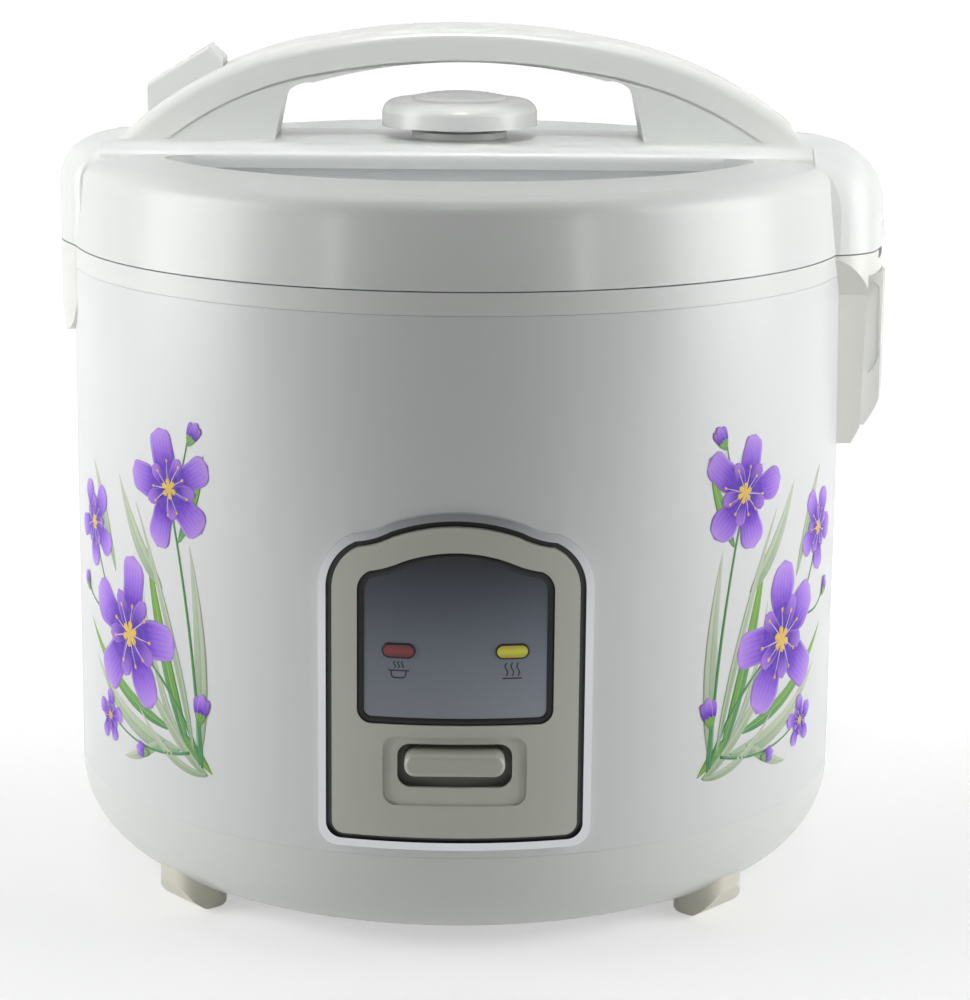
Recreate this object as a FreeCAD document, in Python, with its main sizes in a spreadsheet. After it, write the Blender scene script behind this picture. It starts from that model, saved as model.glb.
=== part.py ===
# Electric rice cooker with a hinged lid, carrying handle, steam vent cap, dew cup and
# a one-lever cook and keep-warm control. Millimetres, +Z up, the origin on the pot's
# axis at the level the four feet stand on. The control panel faces -Y, the lid latch
# is on -X and the lid hinge on +X.
import FreeCAD, Part

import math
import os
import re

import Sketcher
from FreeCAD import Placement, Rotation, Vector

doc = FreeCAD.newDocument("RiceCooker")
sheet = doc.addObject("Spreadsheet::Sheet", "Sizes")

SIZES = [
    # outer body
    ("body_radius", 130.0),
    ("shell_wall", 1.4),
    ("shell_length", 169.8),
    ("base_bottom", 5.2),
    ("base_rise", 31.1),
    ("base_corner_run", 26.5),
    ("base_corner_radius", 30.0),
    ("base_wall", 2.4),
    ("base_lip", 6.0),
    ("base_opening_in", 42.0),
    ("bottom_cover_overlap", 7.0),
    ("bottom_cover_thickness", 1.0),
    ("bottom_vent_radius", 5.0),
    ("bottom_vent_in", 22.0),
    ("foot_width", 19.0),
    ("foot_depth", 19.0),
    ("foot_in", 17.5),
    ("foot_corner", 6.0),
    ("foot_edge", 1.6),
    ("foot_heel_run", 9.5),
    ("foot_heel_rise", 9.5),
    ("foot_heel_radius", 16.0),
    ("foot_block_height", 18.0),
    ("fit_gap", 0.3),
    ("base_seam_gap", 0.05),
    # ring that closes the top of the body
    ("ring_rise", 7.05),
    ("ring_skirt", 8.0),
    ("ring_wall", 2.0),
    ("ring_rim", 6.6),
    ("ring_shelf_drop", 5.0),
    ("ring_collar_drop", 15.0),
    # pot, liner and heating plate
    ("pot_flange_width", 10.0),
    ("pot_wall", 1.2),
    ("pot_floor_rise", 18.0),
    ("pot_corner", 20.0),
    ("pot_flange_gap", 3.9),
    ("liner_gap", 3.5),
    ("liner_wall", 0.8),
    ("liner_floor_height", 40.0),
    ("liner_corner", 8.0),
    ("plate_in", 25.5),
    ("plate_thickness", 12.0),
    ("plate_rim_drop", 1.0),
    ("plate_bore_radius", 17.0),
    ("post_radius", 4.0),
    ("post_in", 22.0),
    ("sensor_radius", 15.0),
    ("sensor_height", 9.0),
    ("sensor_case_radius", 13.5),
    ("sensor_case_flange", 22.0),
    ("sensor_wall", 1.0),
    ("magnet_radius", 9.0),
    ("magnet_thickness", 4.0),
    ("magnet_gap", 5.4),
    ("rod_radius", 2.0),
    ("rod_foot", 26.0),
    ("rod_collar_radius", 5.0),
    ("rod_collar_thickness", 1.5),
    # lid
    ("lid_gap", 0.4),
    ("lid_wall", 3.0),
    ("lid_wall_rise", 21.0),
    ("lid_draft", 2.4),
    ("lid_shoulder_run", 5.1),
    ("lid_shoulder_rise", 6.8),
    ("lid_shoulder_radius", 6.8),
    ("lid_crown_rise", 2.2),
    ("lid_crown_radius", 90.0),
    ("window_in", 25.5),
    ("window_depth", 4.2),
    ("window_corner", 9.0),
    ("glass_seat", 4.5),
    ("glass_thickness", 3.2),
    ("cover_flange_out", 9.0),
    ("cover_wall_out", 1.5),
    ("cover_wall", 2.0),
    ("gasket_height", 4.2),
    ("gasket_width", 6.0),
    ("bridge_rise", 3.7),
    ("bridge_half_width", 31.0),
    ("bridge_edge", 5.6),
    ("latch_nose_out", 4.7),
    ("latch_nose_half_width", 33.0),
    ("latch_nose_plan_radius", 60.0),
    ("latch_nose_face_half", 28.0),
    ("latch_nose_top_radius", 14.4),
    ("hinge_nose_out", 13.3),
    ("hinge_nose_half_width", 42.0),
    ("hinge_nose_plan_radius", 79.0),
    ("hinge_nose_face_half", 27.0),
    ("nose_corner_in", 5.5),
    ("hinge_nose_top_radius", 20.7),
    ("hinge_nose_corner", 20.0),
    ("latch_nose_corner", 7.5),
    ("latch_nose_side_round", 8.0),
    ("hinge_nose_side_round", 12.0),
    ("nose_root_in", 14.0),
    # hinge
    ("hinge_axis_in", 5.1),
    ("hinge_axis_rise", 3.9),
    ("hinge_pin_radius", 1.5),
    ("hinge_barrel_radius", 5.0),
    ("hinge_barrel_half_length", 12.0),
    ("hinge_ear_thickness", 4.0),
    ("hinge_ear_radius", 3.6),
    ("hinge_side_gap", 0.4),
    ("hinge_saddle_radius", 7.1),
    ("hinge_saddle_half", 24.0),
    ("hinge_ear_root", 4.0),
    ("running_gap", 0.05),
    # bracket below the hinge and the dew cup in it
    ("bracket_depth", 65.5),
    ("bracket_step", 8.3),
    ("bracket_root_in", 5.8),
    ("hinge_anchor_half", 21.0),
    ("hinge_anchor_drop", 30.0),
    ("bracket_toe", 5.5),
    ("bracket_toe_run", 2.6),
    ("bracket_waist_half", 33.0),
    ("bracket_waist_drop", 14.0),
    ("bracket_low_half", 25.5),
    ("cup_half_width", 22.0),
    ("cup_stand", 1.5),
    ("cup_top_drop", 7.3),
    ("cup_depth", 52.5),
    ("cup_wall", 2.0),
    ("cup_bulge", 1.5),
    ("cup_grip_depth", 1.1),
    ("cup_grip_top", 11.0),
    ("cup_grip_bottom", 42.0),
    ("cup_travel", 30.0),
    # latch
    ("catch_depth", 29.8),
    ("catch_low_half", 32.0),
    ("catch_box_half", 13.0),
    ("catch_box_drop", 18.0),
    ("catch_box_in", 8.8),
    ("catch_taper", 3.4),
    ("catch_wall", 2.4),
    ("hook_half_width", 8.0),
    ("hook_in", 7.3),
    ("hook_thickness", 2.4),
    ("hook_tooth", 2.0),
    ("hook_tooth_height", 3.6),
    ("hook_reach", 11.5),
    ("hook_tooth_gap", 0.4),
    ("hook_ledge_drop", 7.2),
    ("hook_axis_in", 8.9),
    ("hook_axis_rise", 24.9),
    ("hook_boss_radius", 3.4),
    ("hook_pin_radius", 1.5),
    ("hook_elbow_run", 7.0),
    ("hook_pad_run", 14.5),
    ("hook_pad_rise", 11.8),
    ("hook_pad_length", 6.0),
    ("hook_arm_thickness", 2.6),
    ("hook_rib_thickness", 2.5),
    # handle
    ("handle_rise", 37.4),
    ("handle_top_offset", 0.9),
    ("handle_crown_radius", 260.0),
    ("handle_left_break", 47.0),
    ("handle_right_break", 49.0),
    ("handle_left_in", 16.5),
    ("handle_right_in", 17.0),
    ("handle_knee_run", 3.5),
    ("handle_knee_rise", 7.2),
    ("handle_left_radius", 122.0),
    ("handle_right_radius", 141.0),
    ("handle_half_width", 18.0),
    ("handle_edge", 4.0),
    ("handle_band", 10.8),
    ("handle_inset", 0.8),
    ("arch_foot", 61.3),
    ("arch_knee", 59.0),
    ("arch_knee_rise", 11.5),
    ("arch_shoulder", 48.5),
    ("arch_left_rise", 18.9),
    ("arch_right_rise", 20.0),
    ("arch_corner_radius", 9.5),
    ("arch_crown_radius", 184.0),
    # release button on the handle
    ("button_left_out", 4.1),
    ("button_right_in", 21.2),
    ("button_nose", 4.8),
    ("button_low_rise", 17.9),
    ("button_high_rise", 30.5),
    ("button_shoulder_drop", 4.4),
    ("button_depth", 9.4),
    ("button_half_width", 10.0),
    ("button_edge", 1.5),
    ("button_travel", 2.1),
    ("stem_in", 18.5),
    ("stem_radius", 2.5),
    ("well_gap", 0.4),
    # steam vent
    ("cap_radius", 26.2),
    ("cap_lift", 4.0),
    ("cap_skirt", 4.6),
    ("cap_shoulder", 4.0),
    ("cap_dome_half", 15.5),
    ("cap_dome_radius", 74.0),
    ("cap_height", 11.3),
    ("cap_wall", 2.2),
    ("tube_radius", 9.0),
    ("tube_wall", 1.6),
    ("tube_flange_radius", 16.0),
    ("tube_flange", 2.0),
    ("socket_gap", 0.2),
    ("cap_travel", 8.4),
    ("vent_seal_radius", 14.0),
    ("vent_seal_thickness", 2.5),
    # control panel
    ("panel_half_width", 42.3),
    ("panel_bottom", 39.6),
    ("panel_corner_bottom", 6.0),
    ("panel_corner_top", 19.0),
    ("panel_shoulder_height", 121.9),
    ("panel_crown_top", 146.5),
    ("panel_crown_radius", 57.0),
    ("panel_crown_half", 21.0),
    ("panel_dip_radius", 25.0),
    ("bezel_width", 2.4),
    ("bezel_proud", 2.3),
    ("backing_proud", 0.8),
    ("moat_width", 1.9),
    ("face_proud", 3.2),
    ("face_thickness", 2.4),
    ("label_margin", 7.8),
    ("label_bottom", 79.9),
    ("label_corner", 4.5),
    ("label_recess", 0.9),
    ("label_thickness", 0.6),
    ("lens_x", 17.4),
    ("lens_height", 103.3),
    ("lens_half_length", 4.7),
    ("lens_half_height", 1.9),
    ("lens_proud", 0.5),
    ("lens_depth", 5.0),
    ("slot_half_width", 17.7),
    ("slot_bottom", 59.8),
    ("slot_top", 73.8),
    ("slot_corner", 4.0),
    ("recess_half_width", 22.2),
    ("recess_bottom", 54.1),
    ("recess_top", 76.2),
    ("recess_depth", 1.0),
    # cook lever
    ("knob_half_width", 15.4),
    ("knob_bottom", 65.0),
    ("knob_top", 72.0),
    ("knob_corner", 3.3),
    ("knob_reach", 8.0),
    ("knob_in", 8.5),
    ("knob_edge", 1.4),
    ("lever_pivot_in", 58.0),
    ("lever_pivot_z", 33.0),
    ("lever_drop", 3.0),
    ("lever_thickness", 1.6),
    ("lever_half_width", 6.0),
    ("lever_pin_radius", 1.5),
    ("lever_boss_radius", 4.0),
    ("lever_bracket_wall", 1.5),
    ("lever_bracket_half", 6.0),
    ("lever_end", 7.0),
    ("lever_eye_radius", 3.0),
    ("collar_gap", 0.5),
    # inlet at the back
    ("inlet_height", 60.0),
    ("inlet_half_width", 14.0),
    ("inlet_half_height", 11.5),
    ("inlet_flange", 4.0),
    ("inlet_flange_thickness", 1.5),
    ("inlet_depth", 16.0),
    ("inlet_wall", 2.0),
    ("inlet_pin_length", 12.0),
    ("inlet_pin_width", 4.0),
    ("inlet_pin_thickness", 2.0),
    ("inlet_pin_pitch", 7.0),
]

# Heights and places that several pieces share, worked out from the sizes above.
SHARED = {
    "base_opening_radius": "body_radius - base_opening_in",
    "bottom_vent_circle": "base_opening_radius - bottom_vent_in",
    "foot_circle": "body_radius - foot_in",
    "ring_rebate_radius": "body_radius - ring_rim",
    "pot_flange_radius": "ring_rebate_radius - pot_flange_gap",
    "pot_radius": "pot_flange_radius - pot_flange_width",
    "liner_radius": "pot_radius + liner_gap",
    "plate_radius": "pot_radius - plate_in",
    "post_circle": "plate_radius - post_in",
    "window_radius": "body_radius - window_in",
    "cover_flange_radius": "window_radius + cover_flange_out",
    "cover_wall_radius": "window_radius + cover_wall_out",
    "latch_nose_reach": "body_radius + latch_nose_out",
    "hinge_nose_reach": "body_radius + hinge_nose_out",
    "nose_corner_x": "body_radius - nose_corner_in",
    "nose_root": "body_radius - nose_root_in",
    "hinge_axis_x": "hinge_nose_reach - hinge_axis_in",
    "bracket_face": "hinge_nose_reach - bracket_step",
    "bracket_root": "body_radius - bracket_root_in",
    "cup_root": "body_radius + cup_stand",
    "catch_box_inside": "body_radius - catch_box_in",
    "catch_low_reach": "latch_nose_reach - catch_taper",
    "hook_outside": "latch_nose_reach - hook_in",
    "hook_axis_x": "hook_outside - hook_axis_in",
    "handle_left_foot": "body_radius - handle_left_in",
    "handle_right_foot": "body_radius - handle_right_in",
    "stem_x": "hook_axis_x - stem_in",
    "button_left": "stem_x + button_left_out",
    "button_right": "stem_x - button_right_in",
    "button_shoulder": "button_right + button_nose",
    "knob_front": "body_radius + knob_reach",
    "knob_back": "body_radius - knob_in",
    "lever_pivot_y": "lever_pivot_in - body_radius",
    "shell_bottom": "base_bottom + base_rise",
    "shell_top": "shell_bottom + shell_length",
    "seam": "shell_top + ring_rise",
    "shell_inside": "body_radius - shell_wall",
    "flange_top": "seam - ring_shelf_drop + fit_gap + pot_wall",
    "pot_floor_height": "liner_floor_height + pot_floor_rise",
    "plate_top": "pot_floor_height - fit_gap",
    "plate_bottom": "plate_top - plate_thickness",
    "liner_floor_top": "liner_floor_height + liner_wall",
    "lid_bottom": "seam + lid_gap",
    "lid_shoulder": "lid_bottom + lid_wall_rise",
    "lid_shoulder_top": "lid_shoulder + lid_shoulder_rise",
    "lid_top": "lid_shoulder_top + lid_crown_rise",
    "lid_wall_top_radius": "body_radius - lid_draft",
    "lid_crown_start": "body_radius - lid_draft - lid_shoulder_run",
    "armature_top": "plate_top - sensor_wall - magnet_thickness - magnet_gap",
    "lever_top": "lever_pivot_z - lever_drop + lever_thickness",
    "collar_bottom": "lever_top + collar_gap",
    "glass_top": "lid_top - window_depth",
    "glass_bottom": "glass_top - glass_thickness",
    "glass_radius": "window_radius + glass_seat",
    "bridge_top": "lid_top + bridge_rise",
    "bridge_under": "bridge_top - lid_wall",
    "handle_top": "bridge_top + handle_rise",
    "hinge_axis_z": "seam + hinge_axis_rise",
    "hook_axis_z": "seam + hook_axis_rise",
    "cap_bottom": "bridge_top + cap_lift",
    "cap_top": "cap_bottom + cap_height",
    "cap_dome_foot": "cap_top - cap_dome_radius + sqrt(cap_dome_radius ^ 2 - cap_dome_half ^ 2)",
    "tube_inside": "tube_radius - tube_wall",
    "bezel_front": "body_radius + bezel_proud",
    "gasket_bottom": "flange_top + fit_gap",
    "gasket_top": "gasket_bottom + gasket_height",
    "hook_inside": "hook_outside - hook_thickness",
    "hook_tip": "hook_inside - hook_tooth",
    "hook_bottom": "seam - hook_reach",
    "stem_bottom": "hook_axis_z + hook_pad_rise + fit_gap",
    "face_front": "body_radius + face_proud",
    "face_back": "face_front - face_thickness",
    "label_front": "face_front - label_recess",
    "label_back": "label_front - label_thickness",
}

for row, (name, value) in enumerate(SIZES, start=1):
    sheet.set("A%d" % row, name)
    sheet.set("B%d" % row, repr(value))
    sheet.setAlias("B%d" % row, name)
doc.recompute()
ALIASES = set(name for name, value in SIZES)
WORD = re.compile(r"[A-Za-z_][A-Za-z_0-9]*")


def spelled(expression):
    """An expression with the shared places written out in terms of the sheet's cells."""
    def swap(match):
        word = match.group(0)
        if word in SHARED:
            return "(" + spelled(SHARED[word]) + ")"
        return "Sizes." + word if word in ALIASES else word
    return WORD.sub(swap, str(expression))


def val(expression):
    """The present value of an expression, in millimetres or degrees."""
    got = sheet.evalExpression(spelled(expression).replace("Sizes.", ""))
    return float(getattr(got, "Value", got))


def bind(thing, prop, expression):
    """Ties one property of a document object to the sheet."""
    thing.setExpression(prop, spelled(expression))


def plane_of(body, role):
    """One of the body's own origin planes."""
    return [item for item in body.Origin.OriginFeatures if item.Role == role][0]


def arc_between(start, end, radius, turn):
    """The shorter arc of that radius from start to end; turn is 1 for anticlockwise."""
    chord = end - start
    middle = (start + end) * 0.5
    half = chord.Length / 2.0
    away = math.sqrt(max(radius * radius - half * half, 0.0))
    normal = Vector(-chord.y, chord.x, 0).normalize()
    centre = middle + normal * away * turn
    first = math.atan2(start.y - centre.y, start.x - centre.x)
    last = math.atan2(end.y - centre.y, end.x - centre.x)
    circle = Part.Circle(centre, Vector(0, 0, 1), radius)
    if turn > 0:
        return Part.ArcOfCircle(circle, first, last)
    return Part.ArcOfCircle(circle, last, first)


def draw(sketch, corners):
    """Draws one closed outline in a sketch and ties every corner to the sheet.

    Each corner is (x, y) or (x, y, radius, turn); the last two make the side that
    leaves the corner an arc, anticlockwise when turn is 1 and clockwise when -1.
    """
    points = [Vector(val(c[0]), val(c[1]), 0) for c in corners]
    first = sketch.GeometryCount
    rules = []
    ends = []
    for index, corner in enumerate(corners):
        start = points[index]
        end = points[(index + 1) % len(points)]
        if len(corner) > 2:
            sketch.addGeometry(arc_between(start, end, val(corner[2]), corner[3]), False)
            ends.append((1, 2) if corner[3] > 0 else (2, 1))
        else:
            sketch.addGeometry(Part.LineSegment(start, end), False)
            ends.append((1, 2))
    count = len(corners)
    for index in range(count):
        after = (index + 1) % count
        sketch.addConstraint(Sketcher.Constraint(
            "Coincident", first + index, ends[index][1], first + after, ends[after][0]))
    for index, corner in enumerate(corners):
        geometry = first + index
        start = ends[index][0]
        for kind, axis, amount, text in (("DistanceX", -2, points[index].x, corner[0]),
                                         ("DistanceY", -1, points[index].y, corner[1])):
            if abs(amount) < 1e-9:
                sketch.addConstraint(Sketcher.Constraint("PointOnObject", geometry, start, axis))
                continue
            number = sketch.addConstraint(Sketcher.Constraint(
                kind, -1, 1, geometry, start, amount))
            rules.append((number, text))
        if len(corner) > 2:
            number = sketch.addConstraint(Sketcher.Constraint(
                "Radius", geometry, val(corner[2])))
            rules.append((number, corner[2]))
    for number, text in rules:
        sketch.setExpression("Constraints[%d]" % number, spelled(text))


def draw_circle(sketch, x, y, radius):
    """Draws one circle in a sketch and ties its centre and radius to the sheet."""
    middle = Vector(val(x), val(y), 0)
    number = sketch.addGeometry(Part.Circle(middle, Vector(0, 0, 1), val(radius)), False)
    for kind, axis, amount, text in (("DistanceX", -2, middle.x, x),
                                     ("DistanceY", -1, middle.y, y)):
        if abs(amount) < 1e-9:
            sketch.addConstraint(Sketcher.Constraint("PointOnObject", number, 3, axis))
            continue
        rule = sketch.addConstraint(Sketcher.Constraint(kind, -1, 1, number, 3, amount))
        sketch.setExpression("Constraints[%d]" % rule, spelled(text))
    rule = sketch.addConstraint(Sketcher.Constraint("Radius", number, val(radius)))
    sketch.setExpression("Constraints[%d]" % rule, spelled(radius))


def new_body(label):
    """An empty PartDesign body."""
    body = doc.addObject("PartDesign::Body", label)
    body.Label = label
    doc.recompute()
    return body


def body_sketch(body, name, role):
    """A sketch on one of the body's origin planes."""
    sketch = body.newObject("Sketcher::SketchObject", name)
    sketch.AttachmentSupport = [(plane_of(body, role), "")]
    sketch.MapMode = "FlatFace"
    return sketch


def revolve(body, name, corners):
    """Turns a radius and height outline all the way round the vertical axis."""
    sketch = body_sketch(body, name + "Outline", "XZ_Plane")
    draw(sketch, corners)
    turn = body.newObject("PartDesign::Revolution", name)
    turn.Profile = sketch
    turn.ReferenceAxis = (sketch, ["V_Axis"])
    turn.Angle = 360
    doc.recompute()
    return turn


def free_sketch(name, rotation):
    """A sketch outside a body, on the plane that the rotation gives."""
    sketch = doc.addObject("Sketcher::SketchObject", name)
    sketch.Placement = Placement(Vector(0, 0, 0), rotation)
    return sketch


TOP_VIEW = Rotation()
FRONT_VIEW = Rotation(Vector(1, 0, 0), 90)
SIDE_VIEW = Rotation(Vector(1, 1, 1), 120)


def prism(name, rotation, outlines, low, high):
    """Outlines drawn on a plane and pushed along its normal from low to high."""
    sketch = free_sketch(name + "Outline", rotation)
    for corners in outlines:
        draw(sketch, corners)
    return push(name, sketch, rotation, low, high)


def push(name, source, rotation, low, high):
    """A closed outline pushed along the plane's normal from low to high."""
    solid = doc.addObject("Part::Extrusion", name)
    solid.Base = source
    solid.DirMode = "Custom"
    solid.Dir = rotation.multVec(Vector(0, 0, 1))
    solid.Solid = True
    bind(solid, "LengthFwd", high)
    bind(solid, "LengthRev", "-(" + str(low) + ")")
    return solid


def rod(name, radius, length, base, direction=None):
    """A round bar from a base point along Z, or along the direction given."""
    bar = doc.addObject("Part::Cylinder", name)
    bind(bar, "Radius", radius)
    bind(bar, "Height", length)
    if direction is not None:
        bar.Placement = Placement(Vector(0, 0, 0), Rotation(Vector(0, 0, 1), direction))
    for axis, text in zip("xyz", base):
        bind(bar, "Placement.Base." + axis, text)
    return bar


def block(name, low, high):
    """A box from its low corner to its high corner."""
    box = doc.addObject("Part::Box", name)
    for prop, first, last in zip(("Length", "Width", "Height"), low, high):
        bind(box, prop, "(%s) - (%s)" % (last, first))
    for axis, text in zip("xyz", low):
        bind(box, "Placement.Base." + axis, text)
    return box


def fuse(name, pieces):
    """Several solids joined into one."""
    joined = doc.addObject("Part::MultiFuse", name)
    joined.Shapes = pieces
    joined.Refine = True
    joined.Label = name
    return joined


def cut(name, base, tool):
    """One solid with another taken out of it."""
    left = doc.addObject("Part::Cut", name)
    left.Base = base
    left.Tool = tool
    left.Refine = True
    left.Label = name
    return left


def common(name, first, second):
    """What two solids share."""
    shared = doc.addObject("Part::MultiCommon", name)
    shared.Shapes = [first, second]
    shared.Refine = True
    shared.Label = name
    return shared


def fillet_edges(name, base, radius, wanted):
    """Rounds the edges of a solid that the test picks out."""
    doc.recompute()
    size = val(radius)
    chosen = [(number, size, size) for number, edge in enumerate(base.Shape.Edges, start=1)
              if wanted(edge)]
    if not chosen:
        raise RuntimeError("no edge to round in " + name)
    rounded = doc.addObject("Part::Fillet", name)
    rounded.Base = base
    rounded.Edges = chosen
    rounded.Label = name
    return rounded


NODES = []


def keep(thing, node):
    """Marks an object as a finished piece and gives it the piece's name."""
    thing.Label = node
    NODES.append(thing)
    return thing


# ---------------------------------------------------------------- body shell and base
base = new_body("base")
revolve(base, "BaseBowl", [
    ("base_opening_radius", "base_bottom"),
    ("body_radius - base_corner_run", "base_bottom", "base_corner_radius", 1),
    ("body_radius", "shell_bottom - base_seam_gap"),
    ("body_radius - base_wall", "shell_bottom - base_seam_gap"),
    ("body_radius - base_wall", "shell_bottom + base_lip"),
    ("body_radius - 2 * base_wall", "shell_bottom + base_lip"),
    ("body_radius - 2 * base_wall", "shell_bottom - base_wall",
     "base_corner_radius - base_wall", -1),
    ("body_radius - base_corner_run", "base_bottom + base_wall"),
    ("base_opening_radius", "base_bottom + base_wall"),
])
keep(base, "base")

cover = new_body("bottom_cover")
revolve(cover, "CoverDisc", [
    ("0", "base_bottom + base_wall"),
    ("base_opening_radius + bottom_cover_overlap", "base_bottom + base_wall"),
    ("base_opening_radius + bottom_cover_overlap",
     "base_bottom + base_wall + bottom_cover_thickness"),
    ("0", "base_bottom + base_wall + bottom_cover_thickness"),
])
vent_sketch = body_sketch(cover, "VentOutline", "XY_Plane")
draw_circle(vent_sketch, "0", "bottom_vent_circle", "bottom_vent_radius")
vent = cover.newObject("PartDesign::Pocket", "Vent")
vent.Profile = vent_sketch
vent.Type = "ThroughAll"
vent.Midplane = True
doc.recompute()
vents = cover.newObject("PartDesign::PolarPattern", "Vents")
vents.Originals = [vent]
vents.Axis = (vent_sketch, ["N_Axis"])
vents.Angle = 360
vents.Occurrences = 12
cover.Tip = vents
keep(cover, "bottom_cover")

# The feet are blocks with a rounded heel, whose tops are trimmed to the base's underside.
trim = new_body("BaseTrim")
revolve(trim, "TrimBowl", [
    ("0", "base_bottom"),
    ("body_radius - base_corner_run", "base_bottom", "base_corner_radius", 1),
    ("body_radius", "shell_bottom"),
    ("0", "shell_bottom"),
])
FEET = (("foot_front_left", 220), ("foot_front_right", 318),
        ("foot_rear_right", 42), ("foot_rear_left", 140))
for foot_name, bearing in FEET:
    blank = doc.addObject("Part::Box", foot_name + "_blank")
    bind(blank, "Length", "foot_depth")
    bind(blank, "Width", "foot_width")
    bind(blank, "Height", "foot_block_height")
    turned = Rotation(Vector(0, 0, 1), bearing)
    blank.Placement = Placement(Vector(0, 0, 0), turned)
    cosine = math.cos(math.radians(bearing))
    sine = math.sin(math.radians(bearing))
    bind(blank, "Placement.Base.x",
         "(foot_circle - foot_depth / 2) * %.9f + foot_width / 2 * %.9f" % (cosine, sine))
    bind(blank, "Placement.Base.y",
         "(foot_circle - foot_depth / 2) * %.9f - foot_width / 2 * %.9f" % (sine, cosine))
    upright = fillet_edges(foot_name + "_corners", blank, "foot_corner",
                           lambda edge: abs(edge.tangentAt(edge.FirstParameter).z) > 0.9)
    soft = fillet_edges(foot_name + "_soft", upright, "foot_edge",
                        lambda edge: edge.BoundBox.ZMax < 0.01)
    side = prism(foot_name + "_side", turned.multiply(FRONT_VIEW), [[
        ("foot_circle - foot_depth / 2 - 1", "0"),
        ("foot_circle + foot_depth / 2 - foot_heel_run", "0", "foot_heel_radius", 1),
        ("foot_circle + foot_depth / 2", "foot_heel_rise"),
        ("foot_circle + foot_depth / 2", "foot_block_height"),
        ("foot_circle - foot_depth / 2 - 1", "foot_block_height"),
    ]], "-foot_width / 2 - 1", "foot_width / 2 + 1")
    heeled = common(foot_name + "_heeled", soft, side)
    keep(cut(foot_name + "_trimmed", heeled, trim), foot_name)

# ---------------------------------------------------------------- control panel outline


def panel_corners(inset, foot=None, low=None):
    """The panel's outline, set in by an amount: straight sides and an ogee top."""
    half = "(panel_half_width - %s)" % inset
    foot = foot or "(panel_bottom + %s)" % inset
    low = low or "(panel_corner_bottom - %s * 0.5)" % inset
    corner = "(panel_corner_top - %s)" % inset
    crown = "(panel_crown_radius - %s)" % inset
    dip = "(panel_dip_radius + %s)" % inset
    top = "(panel_crown_top - %s)" % inset
    edge = "(panel_crown_half - %s * 0.37)" % inset
    brow = "(%s - %s + sqrt(%s ^ 2 - %s ^ 2))" % (top, crown, crown, edge)
    turn_x = "(%s - %s + %s * 0.44)" % (half, corner, corner)
    turn_z = "(panel_shoulder_height + %s * 0.898)" % corner
    return [
        ("-%s + %s" % (half, low), foot),
        ("%s - %s" % (half, low), foot, low, 1),
        (half, "%s + %s" % (foot, low)),
        (half, "panel_shoulder_height", corner, 1),
        (turn_x, turn_z, dip, -1),
        (edge, brow, crown, 1),
        ("-%s" % edge, brow, dip, -1),
        ("-%s" % turn_x, turn_z, corner, 1),
        ("-%s" % half, "panel_shoulder_height"),
        ("-%s" % half, "%s + %s" % (foot, low), low, 1),
    ]


def tube(name, inner, outer, bottom, top):
    """A tube about the pot's axis."""
    skin = rod(name + "Outside", outer, "%s - (%s)" % (top, bottom), ("0", "0", bottom))
    hole = rod(name + "Inside", inner, "%s - (%s) + 2" % (top, bottom),
               ("0", "0", "(%s) - 1" % bottom))
    return cut(name, skin, hole)


def curved_plate(name, inset, inner, outer):
    """A plate of the panel's outline, set in and bent round the body."""
    sheet_form = prism(name + "Flat", FRONT_VIEW, [panel_corners(inset)],
                       "body_radius * 0.6", "body_radius * 1.1")
    bend = tube(name + "Bend", inner, outer, "panel_bottom - 5", "panel_crown_top + 5")
    return common(name, sheet_form, bend)


def slot_corners(half, bottom, top, corner):
    """A slot outline with round corners."""
    return [
        ("-(%s) + %s" % (half, corner), bottom),
        ("(%s) - %s" % (half, corner), bottom, corner, 1),
        (half, "%s + %s" % (bottom, corner)),
        (half, "%s - %s" % (top, corner), corner, 1),
        ("(%s) - %s" % (half, corner), top),
        ("-(%s) + %s" % (half, corner), top, corner, 1),
        ("-(%s)" % half, "%s - %s" % (top, corner)),
        ("-(%s)" % half, "%s + %s" % (bottom, corner), corner, 1),
    ]


def lens_corners(side, gap):
    """A lamp's long round-ended outline on one side of the panel."""
    middle = "%d * lens_x" % side
    straight = "(lens_half_length - lens_half_height)"
    tall = "(lens_half_height + %s)" % gap
    return [
        ("%s - %s" % (middle, straight), "lens_height - %s" % tall),
        ("%s + %s" % (middle, straight), "lens_height - %s" % tall, tall + " * 1.0001", 1),
        ("%s + %s" % (middle, straight), "lens_height + %s" % tall),
        ("%s - %s" % (middle, straight), "lens_height + %s" % tall, tall + " * 1.0001", 1),
    ]


slot_cutter = prism("SlotCutter", FRONT_VIEW,
                    [slot_corners("slot_half_width", "slot_bottom", "slot_top", "slot_corner")],
                    "body_radius * 0.7", "body_radius * 1.1")
left_lens_hole = prism("LeftLensHole", FRONT_VIEW, [lens_corners(-1, "0.05")],
                       "body_radius * 0.7", "body_radius * 1.1")
right_lens_hole = prism("RightLensHole", FRONT_VIEW, [lens_corners(1, "0.05")],
                        "body_radius * 0.7", "body_radius * 1.1")
front_cutters = fuse("FrontCutters", [slot_cutter, left_lens_hole, right_lens_hole])

bezel_outside = curved_plate("BezelOutside", "0", "body_radius", "bezel_front")
bezel_hole = prism("BezelHole", FRONT_VIEW, [panel_corners("bezel_width")],
                   "body_radius * 0.6", "body_radius * 1.1")
keep(cut("BezelRing", bezel_outside, bezel_hole), "panel_bezel")

backing = curved_plate("BackingBlank", "bezel_width", "body_radius",
                       "body_radius + backing_proud")
keep(cut("BackingPlate", backing, front_cutters), "panel_backing")

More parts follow.
